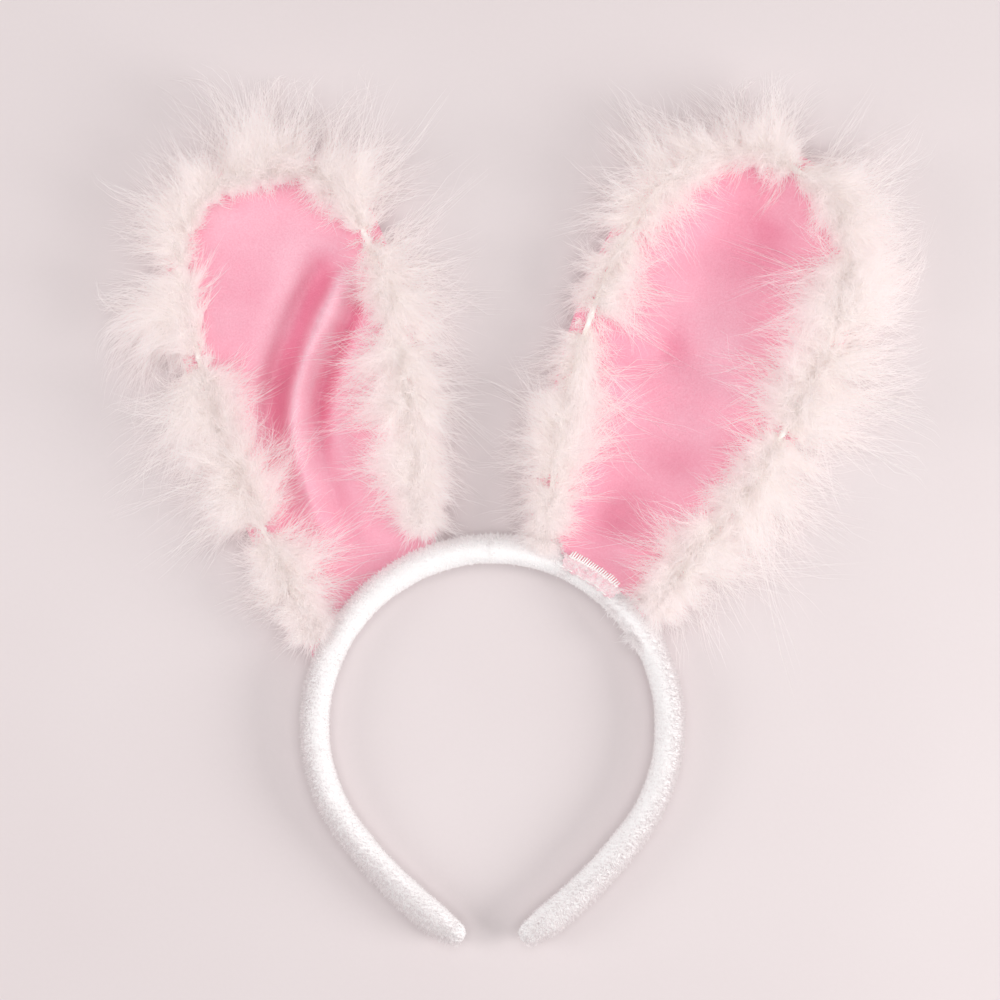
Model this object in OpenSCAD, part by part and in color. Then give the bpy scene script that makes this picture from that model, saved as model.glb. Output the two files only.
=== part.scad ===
// Rabbit ears headband, lying flat on its edge.
// Origin: centre of the head arch, at the level of the surface it lies on.
// +Z up from that surface, +Y from the arch towards the ear tips, +X to the right.

/* [Band] */
// Radius of the arch, to the middle of the band's thickness
arch_r = 58.5; // [56:0.5:62]
// Thickness of the covered band, from the head outwards
band_t = 8.8; // [8:0.2:10]
// Width of the covered band, along the head
band_w = 12; // [11:0.5:14]
// Angle from the crown at which the arms start to straighten
arch_end = 127; // [122:1:128]
// Radius of the straighter stretch down to each tip
arm_r = 160; // [140:5:200]
// Turn of that straighter stretch
arm_turn = 17; // [14:1:18]
// Thickness of the plush cover, pile included
cover_t = 1.4; // [1:0.1:1.6]
// Thickness of the springy plastic strip
strip_t = 1.4; // [1:0.1:1.6]
// Width of the springy plastic strip
strip_w = 7; // [6:0.5:8]

/* [Arm flex] */
// Angle from the crown of the place where each arm springs open
flex_at = 72; // [70:1:76]
// How far an arm opens
flex_out = 14; // [8:1:16]
// How far an arm can be squeezed in
flex_in = 4; // [2:1:5]

/* [Left ear] */
// Angle of the ear's base from the crown
left_at = 43; // [42:1:46]
// Lean of the ear away from the middle
left_lean = 15; // [10:1:18]
// Length from the base to the tip
left_length = 145; // [140:1:150]
// Half of the greatest width
left_half = 37.5; // [34:0.5:39]
// Squareness of the tip
left_square = 3; // [2.4:0.1:3.2]
// How late the sides swell
left_hip = 1; // [0.9:0.05:1.4]

/* [Right ear] */
// Angle of the ear's base from the crown
right_at = 35; // [34:1:38]
// Lean of the ear away from the middle
right_lean = 24; // [20:1:28]
// Length from the base to the tip
right_length = 152; // [148:1:158]
// Half of the greatest width
right_half = 43; // [41:1:45]
// Squareness of the tip
right_square = 2.5; // [2.4:0.1:3.2]
// How late the sides swell
right_hip = 1.15; // [0.9:0.05:1.4]

/* [Trim] */
// Distance of the feather cord from the satin's edge
cord_inset = 5; // [4:0.5:6]
// Diameter of the feather cord
cord_d = 2; // [1.6:0.2:2.4]
// Radius of a feather puff
puff_r = 12; // [10:0.5:13]
// Puffs along the edge of one ear
puffs = 10; // [9:1:10]

/* [Hidden] */

band_z = 7.1;            // middle of the band above the surface
gap = 0.05;              // between layers that lie on each other
flex_gap = 0.3;          // between crown and arm at the place that flexes
core_back = 3;           // how far the strip and padding stop short of the tip
base_half = 23;          // half width of an ear where it meets the band
base_drop = 26;          // how far the ear pattern runs below its base before it is cut
widest = 0.59;           // place of the greatest width, as a share of the length
fold_r = arch_r + band_t / 2 + 1.9;   // radius of the line on which an ear tilts
ear_from = 4;            // the ear's own parts start this far from that line
lip_to = 3.7;            // the satin lip of the flap ends this far from it
ear_z = 6.5;             // middle of the ear above the surface
satin_t = 0.5;
stiff_t = 1.4;
wire_d = 1.2;
wire_inset = 3;
stiff_inset = 4.3;
seam_w = 1.6;            // width of the turned-in seam between the two satins
front_z = ear_z + stiff_t / 2 + gap;              // underside of the front satin
cord_z = front_z + satin_t + cord_d / 2 + gap;    // middle of the feather cord
flap_t = 0.6;
flap_half = 11;          // half of the flap's span round the band, in degrees
flap_past = 2.6;         // how far the flap reaches past the middle of the band
puff_out = 3;            // how far the puffs stand out from the cord
thread_r = 0.2;
end_puff_r = 8;
puff_gap = 2.4;          // from the end of a puff to the stitch that pinches it
puff_clear = 12.5;       // the outermost puff centres lie this far from the tilt line
plush = [0.96, 0.94, 0.94];
satin = [0.95, 0.62, 0.72];
feather = [0.97, 0.93, 0.93];
thread = [0.95, 0.95, 0.93];

// ---------- helpers ----------

// A point on a circle, by its angle from +Y towards +X.
function polar(r, a) = r * [sin(a), cos(a)];

// Centre of the straighter arc of the right arm.
arm_centre = polar(arch_r - arm_r, arch_end);

// Revolves its child, drawn in the (radius, z) plane, from angle a0 to a1 about a centre.
module sweep(a0, a1, centre = [0, 0]) {
    translate(centre) rotate([0, 0, 90 - a1]) rotate_extrude(angle = a1 - a0, $fn = 180) children();
}

// A slot shape, t thick and w wide, standing at radius r.
module slot_section(r, t, w) {
    translate([r, band_z]) {
        square([t, w - t], center = true);
        for (s = [-1, 1]) translate([0, s * (w - t) / 2]) circle(d = t, $fn = 48);
    }
}

module strip_section(r, grow = 0) {
    translate([r - 1, band_z]) square([strip_t + grow, strip_w + grow], center = true);
}

module padding_section(r) {
    difference() {
        slot_section(r, band_t - 2 * (cover_t + gap), band_w - 2 * (cover_t + gap));
        strip_section(r, 2 * gap);
    }
}

module cover_section(r) {
    difference() {
        slot_section(r, band_t, band_w);
        slot_section(r, band_t - 2 * cover_t, band_w - 2 * cover_t);
    }
}

// The wedge in which the right arm turns: clear of the crown in both directions.
module flex_wedge() {
    reach = band_t;
    h = polar(arch_r - 1, flex_at);
    along = polar(1, flex_at + 90);
    out = polar(1, flex_at);
    start = h + flex_gap * along;
    linear_extrude(3 * band_w, center = true) polygon([
        start,
        start + reach * out + reach * tan(flex_out + 1) * along,
        start + reach * out - 2 * flex_gap * along,
        start - reach * out - 2 * flex_gap * along,
        start - reach * out + reach * tan(flex_in + 1) * along
    ]);
}

// Carries a section down the right arm, ending short of the tip by stop_short degrees.
// Both bends are drawn where they meet on the X axis, and then turned to the end of the arch.
module arm(stop_short = 0) {
    turn = arm_turn - stop_short;
    difference() {
        rotate([0, 0, 90 - arch_end]) union() {
            rotate_extrude(angle = arch_end - flex_at, start = 0, $fn = 180)
                translate([arch_r, 0]) children();
            translate([arch_r - arm_r, 0]) rotate_extrude(angle = turn, start = -turn, $fn = 180)
                translate([arm_r, 0]) children();
        }
        flex_wedge();
    }
}

module mirrored(side) {
    if (side < 0) mirror([1, 0, 0]) children();
    else children();
}

// ---------- band ----------

module crown_strip() {
    color("gainsboro") sweep(-flex_at, flex_at) strip_section(arch_r);
}

module crown_padding() {
    color("ivory") sweep(-flex_at, flex_at) padding_section(arch_r);
}

module crown_cover() {
    color(plush) sweep(-flex_at, flex_at) cover_section(arch_r);
}

module arm_strip(side) {
    color("gainsboro") mirrored(side) arm(core_back) strip_section(0);
}

module arm_padding(side) {
    color("ivory") mirrored(side) arm(core_back / 2) padding_section(0);
}

module arm_cover(side) {
    color(plush) mirrored(side) arm() cover_section(0);
}

// The end of the cover, gathered over the end of the padding.
module tip_fold(side) {
    end = arch_end + arm_turn;
    at = arm_centre + polar(arm_r, end);
    color(plush) mirrored(side) translate(at) rotate([0, 0, -90 - end])
        rotate_extrude(angle = 180, $fn = 96) intersection() {
            slot_section(0, band_t, band_w);
            translate([0, 0]) square([band_t, 2 * band_w]);
        }
}

// ---------- ear pattern ----------

// [angle of the base, lean, length, half width, squareness, hip], with the left ear's angles negative
left_ear = [-left_at, -left_lean, left_length, left_half, left_square, left_hip];
right_ear = [right_at, right_lean, right_length, right_half, right_square, right_hip];
function at(ear) = ear[0];
function lean(ear) = ear[1];
function length_of(ear) = ear[2];
function half_of(ear) = ear[3];
function square_of(ear) = ear[4];
function hip_of(ear) = ear[5];

// Half width at height v, below the widest place.
function side_half(ear, v) =
    let (vm = widest * length_of(ear), s = (v + base_drop / 2) / (vm + base_drop / 2))
    s <= 0 ? base_half : base_half + (half_of(ear) - base_half) * pow(sin(90 * s), hip_of(ear));

// From the ear's own (across, along) to the frame.
function place(ear, p) =
    let (base = polar(fold_r - 1.5, at(ear)), a = lean(ear))
    base + p[0] * [cos(a), -sin(a)] + p[1] * [sin(a), cos(a)];

// The ear's edge, moved in by inset, from the base up the left side, round the tip and down the right.
function edge(ear, inset, sides = 10, tips = 28) =
    let (vm = widest * length_of(ear), e = 2 / square_of(ear),
         m = half_of(ear) - inset, top = length_of(ear) - vm - inset)
    [for (p = concat(
        [for (i = [0:sides - 1]) let (v = -base_drop + (vm + base_drop) * i / sides)
            [-(side_half(ear, v) - inset), v]],
        [for (i = [0:tips]) let (f = 180 - 180 * i / tips)
            [m * sign(cos(f)) * pow(abs(cos(f)), e), vm + top * pow(sin(f), e)]],
        [for (i = [sides - 1:-1:0]) let (v = -base_drop + (vm + base_drop) * i / sides)
            [side_half(ear, v) - inset, v]]
    )) place(ear, p)];

// Distance of a point from the line on which the ear tilts.
function from_fold(ear, p) = p * polar(1, at(ear)) - fold_r;

// The edge as an open route that starts and ends clear of the band.
function route(ear, inset, clear) =
    [for (p = edge(ear, inset, 24, 40)) if (from_fold(ear, p) > clear) p];

function lengths(path, i = 0, sum = 0) =
    i >= len(path) - 1 ? [sum] : concat([sum], lengths(path, i + 1, sum + norm(path[i + 1] - path[i])));

// The point at distance s along a path whose running lengths are run.
function along(path, run, s, i = 0) =
    i >= len(path) - 2 || run[i + 1] >= s
        ? path[i] + (path[i + 1] - path[i]) * (s - run[i]) / (run[i + 1] - run[i])
        : along(path, run, s, i + 1);

// The half plane beyond (side 1) or before (side -1) a line parallel to the tilt line.
module beyond(ear, d, side = 1) {
    reach = 240;
    rotate([0, 0, -at(ear)])
        translate([-reach / 2, side > 0 ? fold_r + d : fold_r + d - reach]) square([reach, reach]);
}

module ear_outline(ear, inset = 0) {
    intersection() {
        polygon(edge(ear, inset));
        beyond(ear, ear_from + inset);
    }
}

// A round cord along a flat route at height z, with 8 sides.
module cord_along(path, z, d) {
    n = len(path);
    sides = 8;
    function ahead(i) = let (v = path[min(i + 1, n - 1)] - path[max(i - 1, 0)]) v / norm(v);
    pts = [for (i = [0:n - 1]) let (t = ahead(i)) for (k = [0:sides - 1])
        let (a = 360 * k / sides, c = path[i] + d / 2 * cos(a) * [t[1], -t[0]]) [c[0], c[1], z + d / 2 * sin(a)]];
    faces = concat(
        [[for (k = [sides - 1:-1:0]) k]],
        [for (i = [0:n - 2]) for (k = [0:sides - 1])
            let (a = i * sides + k, b = i * sides + (k + 1) % sides) [a, b, b + sides, a + sides]],
        [[for (k = [0:sides - 1]) (n - 1) * sides + k]]);
    polyhedron(pts, faces);
}

// ---------- ear parts ----------

module front_satin(ear) {
    color(satin) translate([0, 0, front_z]) linear_extrude(satin_t) ear_outline(ear);
}

// The back, with the seam allowance turned in along its edge up to the front.
module back_satin(ear) {
    low = ear_z - stiff_t / 2 - gap - satin_t;
    color(satin) {
        translate([0, 0, low]) linear_extrude(satin_t) ear_outline(ear);
        translate([0, 0, low + satin_t]) linear_extrude(front_z - gap - low - satin_t) difference() {
            ear_outline(ear);
            ear_outline(ear, seam_w);
        }
    }
}

module stiffener(ear) {
    color("snow") translate([0, 0, ear_z - stiff_t / 2]) linear_extrude(stiff_t)
        ear_outline(ear, stiff_inset);
}

module edge_wire(ear) {
    color("silver") cord_along(route(ear, wire_inset, ear_from + stiff_inset), ear_z, wire_d);
}

module feather_cord(ear) {
    color(thread) cord_along(route(ear, cord_inset, ear_from + cord_inset), cord_z, cord_d);
}

// A lozenge with round ends from a to b, lying on the surface.
module puff(a, b, r) {
    l = norm(b - a);
    mid = (a + b) / 2;
    translate([mid[0], mid[1], r]) rotate([0, 0, atan2(b[1] - a[1], b[0] - a[0])]) rotate([0, 90, 0])
        rotate_extrude($fn = 64) intersection() {
            union() {
                square([2 * r, l], center = true);
                for (s = [-1, 1]) translate([0, s * l / 2]) circle(r, $fn = 64);
            }
            translate([0, -l / 2 - r]) square([r, l + 2 * r]);
        }
}

// Where the trim is tied down: n + 1 places that divide it into n puffs.
function ties(ear, n) =
    let (path = route(ear, cord_inset, puff_clear - end_puff_r), run = lengths(path), all = run[len(run) - 1])
    [for (i = [0:n]) along(path, run, all * i / n)];

module feather_puffs(ear) {
    t = ties(ear, puffs);
    color(feather) for (i = [0:puffs - 1]) {
        r = i == 0 || i == puffs - 1 ? end_puff_r : puff_r;
        way = (t[i + 1] - t[i]) / norm(t[i + 1] - t[i]);
        out = puff_out * [-way[1], way[0]];
        puff(t[i] + (r + puff_gap) * way + out, t[i + 1] - (r + puff_gap) * way + out, r);
    }
}

// Thread loops that hold the cord down on the satin between the puffs.
module cord_stitches(ear) {
    loop_r = cord_d / 2 + thread_r + gap;
    t = ties(ear, puffs);
    color(thread) for (i = [1:puffs - 1]) {
        way = t[i + 1] - t[i - 1];
        translate([t[i][0], t[i][1], cord_z]) rotate([0, 0, atan2(way[1], way[0]) + 90]) {
            rotate([90, 0, 0]) rotate_extrude(angle = 180, $fn = 48)
                translate([loop_r, 0]) circle(thread_r, $fn = 24);
            for (s = [-1, 1]) translate([s * loop_r, 0, -cord_d / 2]) cylinder(r = thread_r, h = cord_d / 2, $fn = 24);
        }
    }
}

// The knots at the two ends of the cord.
module cord_knots(ear) {
    path = route(ear, cord_inset, ear_from + cord_inset);
    color(thread) for (p = [path[0], path[len(path) - 1]])
        translate([p[0], p[1], front_z + satin_t + gap + cord_d]) sphere(cord_d, $fn = 32);
}

// ---------- where the ears are sewn to the band ----------

// The satin that saddles the band and ends in the lip on which the ear tilts.
// face is 1 for a flap laid over the band and -1 for one tucked under it.
module base_flap(ear, face) {
    outer = arch_r + band_t / 2;
    low = face > 0 ? band_z - 1.5 : band_z - band_w / 2 - flap_t;
    color(satin) {
        sweep(at(ear) - flap_half, at(ear) + flap_half) intersection() {
            difference() {
                slot_section(arch_r, band_t + 2 * flap_t, band_w + 2 * flap_t);
                slot_section(arch_r, band_t + 2 * gap, band_w + 2 * gap);
            }
            translate([arch_r - flap_past, low]) square([2 * band_t, band_w / 2 + flap_t + 1.5]);
        }
        translate([0, 0, ear_z - 0.4]) linear_extrude(0.8) difference() {
            intersection() {
                beyond(ear, lip_to, -1);
                rotate([0, 0, -at(ear)]) translate([-base_half + 1, 0]) square([2 * base_half - 2, 2 * arch_r]);
            }
            circle(outer + flap_t / 2, $fn = 180);
        }
    }
}

// The whipped edge where ear and flap are joined, as a row of thread bars over the band's shoulder.
module overlock_edge(ear, face) {
    bars = 18;
    pitch = 0.95;
    round_r = band_t / 2 + flap_t + thread_r + gap;
    color(thread) for (i = [0:bars - 1]) {
        a = at(ear) + (i - (bars - 1) / 2) * pitch;
        rotate([0, 0, -a]) translate([0, arch_r, band_z + face * (band_w - band_t) / 2])
            mirror([0, 0, face > 0 ? 0 : 1]) rotate([0, 90, 0]) rotate([0, 0, 92])
                rotate_extrude(angle = 55, $fn = 96) translate([round_r, 0]) circle(thread_r, $fn = 24);
    }
}

// Stitches that hold the flap's raw end down on the cover.
module flap_stitches(ear, face) {
    count = 7;
    pitch = 3.1;
    tilt = asin(flap_past / (band_t / 2 + flap_t));
    round_r = band_t / 2 + flap_t + thread_r + gap;
    color(thread) for (i = [0:count - 1]) {
        a = at(ear) + (i - (count - 1) / 2) * pitch;
        rotate([0, 0, -a]) translate([0, arch_r, band_z + face * (band_w - band_t) / 2])
            mirror([0, 0, face > 0 ? 0 : 1]) rotate([tilt - 8, 0, 0]) translate([0, 0, round_r])
                rotate([0, 90, 20]) cylinder(r = thread_r, h = 2.2, center = true, $fn = 24);
    }
}

crown_strip();
crown_padding();
crown_cover();
arm_strip(-1);  // left_arm_strip
arm_padding(-1);  // left_arm_padding
arm_cover(-1);  // left_arm_cover
tip_fold(-1);  // left_tip_fold
arm_strip(1);  // right_arm_strip
arm_padding(1);  // right_arm_padding
arm_cover(1);  // right_arm_cover
tip_fold(1);  // right_tip_fold
base_flap(left_ear, -1);  // left_base_flap
overlock_edge(left_ear, -1);  // left_overlock_edge
flap_stitches(left_ear, -1);  // left_flap_stitches
base_flap(right_ear, 1);  // right_base_flap
overlock_edge(right_ear, 1);  // right_overlock_edge
flap_stitches(right_ear, 1);  // right_flap_stitches
front_satin(left_ear);  // left_front_satin
back_satin(left_ear);  // left_back_satin
stiffener(left_ear);  // left_stiffener
edge_wire(left_ear);  // left_edge_wire
feather_cord(left_ear);  // left_feather_cord
feather_puffs(left_ear);  // left_feather_puffs
cord_stitches(left_ear);  // left_cord_stitches
cord_knots(left_ear);  // left_cord_knots
front_satin(right_ear);  // right_front_satin
back_satin(right_ear);  // right_back_satin
stiffener(right_ear);  // right_stiffener
edge_wire(right_ear);  // right_edge_wire
feather_cord(right_ear);  // right_feather_cord
feather_puffs(right_ear);  // right_feather_puffs
cord_stitches(right_ear);  // right_cord_stitches
cord_knots(right_ear);  // right_cord_knots
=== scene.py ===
# %% [markdown]
# # A rabbit ears headband
# The headband lies flat on a table: a padded plush arch, two pink satin ears,
# and a trim of marabou down sewn round each ear on a cord.
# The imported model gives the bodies, the joints and the plain solids.
# Each soft piece is made again here with its real surface, in metres, in the same frame.

# %% Load the frame
import math
import bpy
import numpy as np
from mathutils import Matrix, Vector


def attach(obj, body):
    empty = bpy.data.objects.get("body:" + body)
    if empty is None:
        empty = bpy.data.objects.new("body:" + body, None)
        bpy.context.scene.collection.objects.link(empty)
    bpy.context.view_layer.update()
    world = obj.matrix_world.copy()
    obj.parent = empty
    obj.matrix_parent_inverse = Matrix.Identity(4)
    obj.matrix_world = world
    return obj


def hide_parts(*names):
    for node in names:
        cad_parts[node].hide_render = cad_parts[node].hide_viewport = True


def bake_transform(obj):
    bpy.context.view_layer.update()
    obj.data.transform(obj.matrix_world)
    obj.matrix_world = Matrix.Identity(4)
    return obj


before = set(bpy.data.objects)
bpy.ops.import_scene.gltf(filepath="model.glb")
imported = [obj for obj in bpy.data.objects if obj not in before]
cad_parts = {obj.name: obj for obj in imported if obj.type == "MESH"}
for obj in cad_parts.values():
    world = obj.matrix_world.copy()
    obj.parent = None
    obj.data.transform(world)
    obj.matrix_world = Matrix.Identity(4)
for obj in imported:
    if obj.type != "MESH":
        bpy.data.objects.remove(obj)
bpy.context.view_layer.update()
MM = 0.001

# %% [markdown]
# The camera comes first. It looks straight down with the ears pointing up the frame,
# from far enough that the tall fluff doesn't spread by perspective.

# %% Camera
cam_data = bpy.data.cameras.new("camera")
cam_data.lens = 85
cam_data.sensor_width = 36
camera = bpy.data.objects.new("camera", cam_data)
camera.location = (0.0026, 0.0749, 0.79)
bpy.context.scene.collection.objects.link(camera)
bpy.context.scene.camera = camera
print("camera height", camera.location.z)

# %% [markdown]
# The light is soft and bright. A broad lamp on the right gives the long soft shadow to the left,
# a weaker one on the left opens the shadows, and a large one overhead fills the fluff.

# %% Lights
def area_light(name, stand, aim, size, power, colour):
    data = bpy.data.lights.new(name, "AREA")
    data.shape = "DISK"
    data.size = size
    data.energy = power
    data.color = colour
    lamp = bpy.data.objects.new(name, data)
    lamp.location = stand
    lamp.rotation_euler = (Vector(aim) - Vector(stand)).to_track_quat("-Z", "Y").to_euler()
    bpy.context.scene.collection.objects.link(lamp)

area_light("key_right", (0.90, -0.17, 0.43), (0.02, 0.05, 0), 0.5, 5.7, (1.0, 0.985, 0.975))
area_light("fill_left", (-0.85, 0.05, 0.52), (0, 0.05, 0), 0.5, 2.5, (1.0, 0.98, 0.98))
area_light("soft_top", (0.05, 0.12, 1.1), (0, 0.05, 0), 0.9, 4.6, (1.0, 0.985, 0.985))

# %% [markdown]
# The room itself gives a pale even light from all sides. Colours are shown as they are,
# so pale things stay clean and pinks stay fresh: the usual film-like view would grey both.

# %% Room light
world = bpy.data.worlds.new("soft_room")
world.use_nodes = True
world.node_tree.nodes["Background"].inputs["Color"].default_value = (1.0, 0.975, 0.975, 1)
world.node_tree.nodes["Background"].inputs["Strength"].default_value = 0.44
bpy.context.scene.world = world
bpy.context.scene.view_settings.view_transform = "Standard"
print("view:", bpy.context.scene.view_settings.view_transform)

# %% [markdown]
# Several finishes share the same fine irregularity, so it is one node group:
# a fine grain for threads and fibres, and a broad mottle for uneven dye and wear.

# %% Shared node group
def soft_grain_group():
    group = bpy.data.node_groups.new("soft_grain", "ShaderNodeTree")
    for name, default in (("Fine Scale", 1500.0), ("Broad Scale", 60.0)):
        socket = group.interface.new_socket(name, in_out="INPUT", socket_type="NodeSocketFloat")
        socket.default_value = default
    group.interface.new_socket("Vector", in_out="INPUT", socket_type="NodeSocketVector")
    for name in ("Fine", "Broad"):
        group.interface.new_socket(name, in_out="OUTPUT", socket_type="NodeSocketFloat")
    nodes, links = group.nodes, group.links
    enter, leave = nodes.new("NodeGroupInput"), nodes.new("NodeGroupOutput")
    for name, detail in (("Fine", 3.0), ("Broad", 2.0)):
        noise = nodes.new("ShaderNodeTexNoise")
        noise.inputs["Detail"].default_value = detail
        links.new(enter.outputs["Vector"], noise.inputs["Vector"])
        links.new(enter.outputs[name + " Scale"], noise.inputs["Scale"])
        links.new(noise.outputs["Fac"], leave.inputs[name])
    return group

SOFT_GRAIN = soft_grain_group()

# %% [markdown]
# A finish starts from one helper. It builds a Principled shader whose colour runs from
# a dark to a light tone with the grain, and whose bump comes from the same grain.
# Numbers that hold all over the surface are set on the shader's own sockets.

# %% Finish helper
def finish(name, dark, light, roughness, fine=1500.0, broad=60.0, bump=0.2, depth=0.0002, mix=0.5,
           **sockets):
    material = bpy.data.materials.new(name)
    material.use_nodes = True
    nodes, links = material.node_tree.nodes, material.node_tree.links
    shader = nodes["Principled BSDF"]
    shader.inputs["Roughness"].default_value = roughness
    for socket, value in sockets.items():
        shader.inputs[socket.replace("_", " ")].default_value = value
    coords = nodes.new("ShaderNodeTexCoord")
    grain = nodes.new("ShaderNodeGroup")
    grain.node_tree = SOFT_GRAIN
    grain.inputs["Fine Scale"].default_value = fine
    grain.inputs["Broad Scale"].default_value = broad
    links.new(coords.outputs["Object"], grain.inputs["Vector"])
    blend = nodes.new("ShaderNodeMix")
    blend.data_type = "FLOAT"
    blend.inputs["Factor"].default_value = mix
    links.new(grain.outputs["Fine"], blend.inputs["A"])
    links.new(grain.outputs["Broad"], blend.inputs["B"])
    ramp = nodes.new("ShaderNodeValToRGB")
    ramp.color_ramp.elements[0].position = 0.3
    ramp.color_ramp.elements[0].color = (*dark, 1)
    ramp.color_ramp.elements[1].position = 0.7
    ramp.color_ramp.elements[1].color = (*light, 1)
    links.new(blend.outputs["Result"], ramp.inputs["Fac"])
    links.new(ramp.outputs["Color"], shader.inputs["Base Color"])
    relief = nodes.new("ShaderNodeBump")
    relief.inputs["Strength"].default_value = bump
    relief.inputs["Distance"].default_value = depth
    links.new(grain.outputs["Fine"], relief.inputs["Height"])
    links.new(relief.outputs["Normal"], shader.inputs["Normal"])
    return material

# %% [markdown]
# The floor is a plain pale pinkish sheet with a faint unevenness.

# %% Floor
bpy.ops.object.select_all(action="DESELECT")
bpy.ops.mesh.primitive_plane_add(size=6, location=(0, 0, 0))
floor = bpy.context.object
floor.name = "floor"
floor.data.materials.append(finish("pale_backdrop", (0.725, 0.655, 0.66), (0.75, 0.685, 0.69), 0.75,
                                   fine=700, broad=9, bump=0.05, depth=0.0004, mix=0.75))
print("floor is", floor.dimensions.x, "m wide")

# %% [markdown]
# Two patterns are used again and again: the line of the band and the outline of an ear.
# They repeat the values of the solids, in mm and degrees, so every piece lies where its solid does.
# The band is a round arch that runs on into two straighter arms. All its pieces are measured
# along its middle, from the crown.

# %% Line of the band
ARCH_R, BAND_T, BAND_W = 58.5, 8.8, 12.0  # middle of the arch, and the band's thickness and depth
BAND_Z = 7.1  # height of the band's middle above the table
ARCH_END, ARM_R, ARM_TURN = 127.0, 160.0, 17.0  # where the arch ends, and the arm's wider bend

def polar(r, degrees):
    a = np.radians(degrees)
    return np.stack([r * np.sin(a), r * np.cos(a)], -1)

def unit(v):
    return v / np.maximum(np.linalg.norm(v, axis=-1), 1e-9)[..., None]

def band_line(s):
    """Middle of the right half of the band, s mm from the crown, and the angle its outside faces."""
    s = np.asarray(s, float)
    first = ARCH_R * math.radians(ARCH_END)
    on_arch = np.degrees(np.minimum(s, first) / ARCH_R)
    beyond = np.degrees(np.maximum(s - first, 0) / ARM_R)
    angle = on_arch + beyond
    centre = polar(ARCH_R - ARM_R, ARCH_END)
    point = np.where((s <= first)[..., None], polar(ARCH_R, angle), centre + polar(ARM_R, angle))
    return point, angle

HALF_BAND = ARCH_R * math.radians(ARCH_END) + ARM_R * math.radians(ARM_TURN)
print("half of the band is", round(HALF_BAND, 1), "mm long")

# %% [markdown]
# An ear is widest a little over halfway up. Below, its sides run down to a narrower base, and above,
# a squarish arc closes the round tip. Its pieces are drawn in the ear's own directions, across and
# along, and then turned and moved to where the ear is sewn on.

# %% Outline of an ear
FOLD_R = ARCH_R + BAND_T / 2 + 1.9  # the line on which the ear tilts, from the middle of the arch
BASE_BACK = 1.5  # the ear's own base point lies this far inside that line
BASE_HALF, BASE_DROP, WIDEST = 23.0, 26.0, 0.59
CORD_INSET, EAR_Z = 5.0, 6.5
EARS = {
    "left": dict(at=-43.0, lean=-15.0, length=145.0, half=37.5, square=3.0, hip=1.0),
    "right": dict(at=35.0, lean=24.0, length=152.0, half=43.0, square=2.5, hip=1.15),
}

def half_width(ear, v):
    """Half of the ear's width at height v above its base."""
    v = np.asarray(v, float)
    widest, tip = WIDEST * ear["length"], (1 - WIDEST) * ear["length"]
    low = np.clip((v + BASE_DROP / 2) / (widest + BASE_DROP / 2), 0, 1)
    side = BASE_HALF + (ear["half"] - BASE_HALF) * np.sin(np.pi / 2 * low) ** ear["hip"]
    up = np.clip((v - widest) / tip, 0, 1)
    top = ear["half"] * np.maximum(1 - up ** ear["square"], 0) ** (1 / ear["square"])
    return np.where(v <= widest, side, top)

def place(ear, across, along):
    """From the ear's own directions to the frame, in mm."""
    a = math.radians(ear["lean"])
    base = polar(FOLD_R - BASE_BACK, ear["at"])
    return np.stack([base[0] + across * math.cos(a) + along * math.sin(a),
                     base[1] - across * math.sin(a) + along * math.cos(a)], -1)

def own(ear, p):
    """From the frame back to (across, along) of the ear."""
    a = math.radians(ear["lean"])
    d = np.asarray(p, float)[..., :2] - polar(FOLD_R - BASE_BACK, ear["at"])
    across = d[..., 0] * math.cos(a) - d[..., 1] * math.sin(a)
    along = d[..., 0] * math.sin(a) + d[..., 1] * math.cos(a)
    return across, along

def from_fold(ear, p):
    """How far a point lies beyond the line on which the ear tilts."""
    return np.asarray(p, float)[..., :2] @ polar(1.0, ear["at"]) - FOLD_R

print("ears:", {name: (2 * ear["half"], ear["length"]) for name, ear in EARS.items()}, "mm")

# %% [markdown]
# The trim follows the ear's edge a few millimetres in. The route is sampled every half millimetre,
# and the ten equal lengths between its ties are the puffs.

# %% Trim route
def edge_route(ear, inset, clear):
    """The ear's edge moved in by inset, from the base up the left side and down the right, 0.5 mm apart."""
    widest, tip = WIDEST * ear["length"], (1 - WIDEST) * ear["length"] - inset
    v = np.linspace(-BASE_DROP, widest, 120)[:-1]
    side = half_width(ear, v) - inset
    f = np.radians(np.linspace(180, 0, 241))
    c, e = np.cos(f), 2 / ear["square"]
    x = (ear["half"] - inset) * np.sign(c) * np.abs(c) ** e
    y = widest + tip * np.maximum(np.sin(f), 0) ** e
    path = place(ear, np.concatenate([-side, x, side[::-1]]), np.concatenate([v, y, v[::-1]]))
    path = path[from_fold(ear, path) > clear]
    run = np.concatenate([[0], np.cumsum(np.linalg.norm(np.diff(path, axis=0), axis=1))])
    s = np.linspace(0, run[-1], int(run[-1] * 2))
    return np.stack([np.interp(s, run, path[:, 0]), np.interp(s, run, path[:, 1])], -1), s

PUFFS = 10
UP = np.array([0, 0, 1.0])
TRIM = {}
for side_name, ear in EARS.items():
    path, run = edge_route(ear, CORD_INSET, 4.5)
    tangent = unit(np.gradient(path, axis=0))
    for _ in range(12):  # takes the small corners out
        tangent[1:-1] = (tangent[:-2] + tangent[1:-1] + tangent[2:]) / 3
    tangent = unit(tangent)
    TRIM[side_name] = dict(path=path, run=run, tangent=tangent, ties=np.linspace(0, run[-1], PUFFS + 1),
                           normal=np.stack([-tangent[:, 1], tangent[:, 0]], -1))
    print(side_name, "trim is", round(run[-1]), "mm long")

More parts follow.
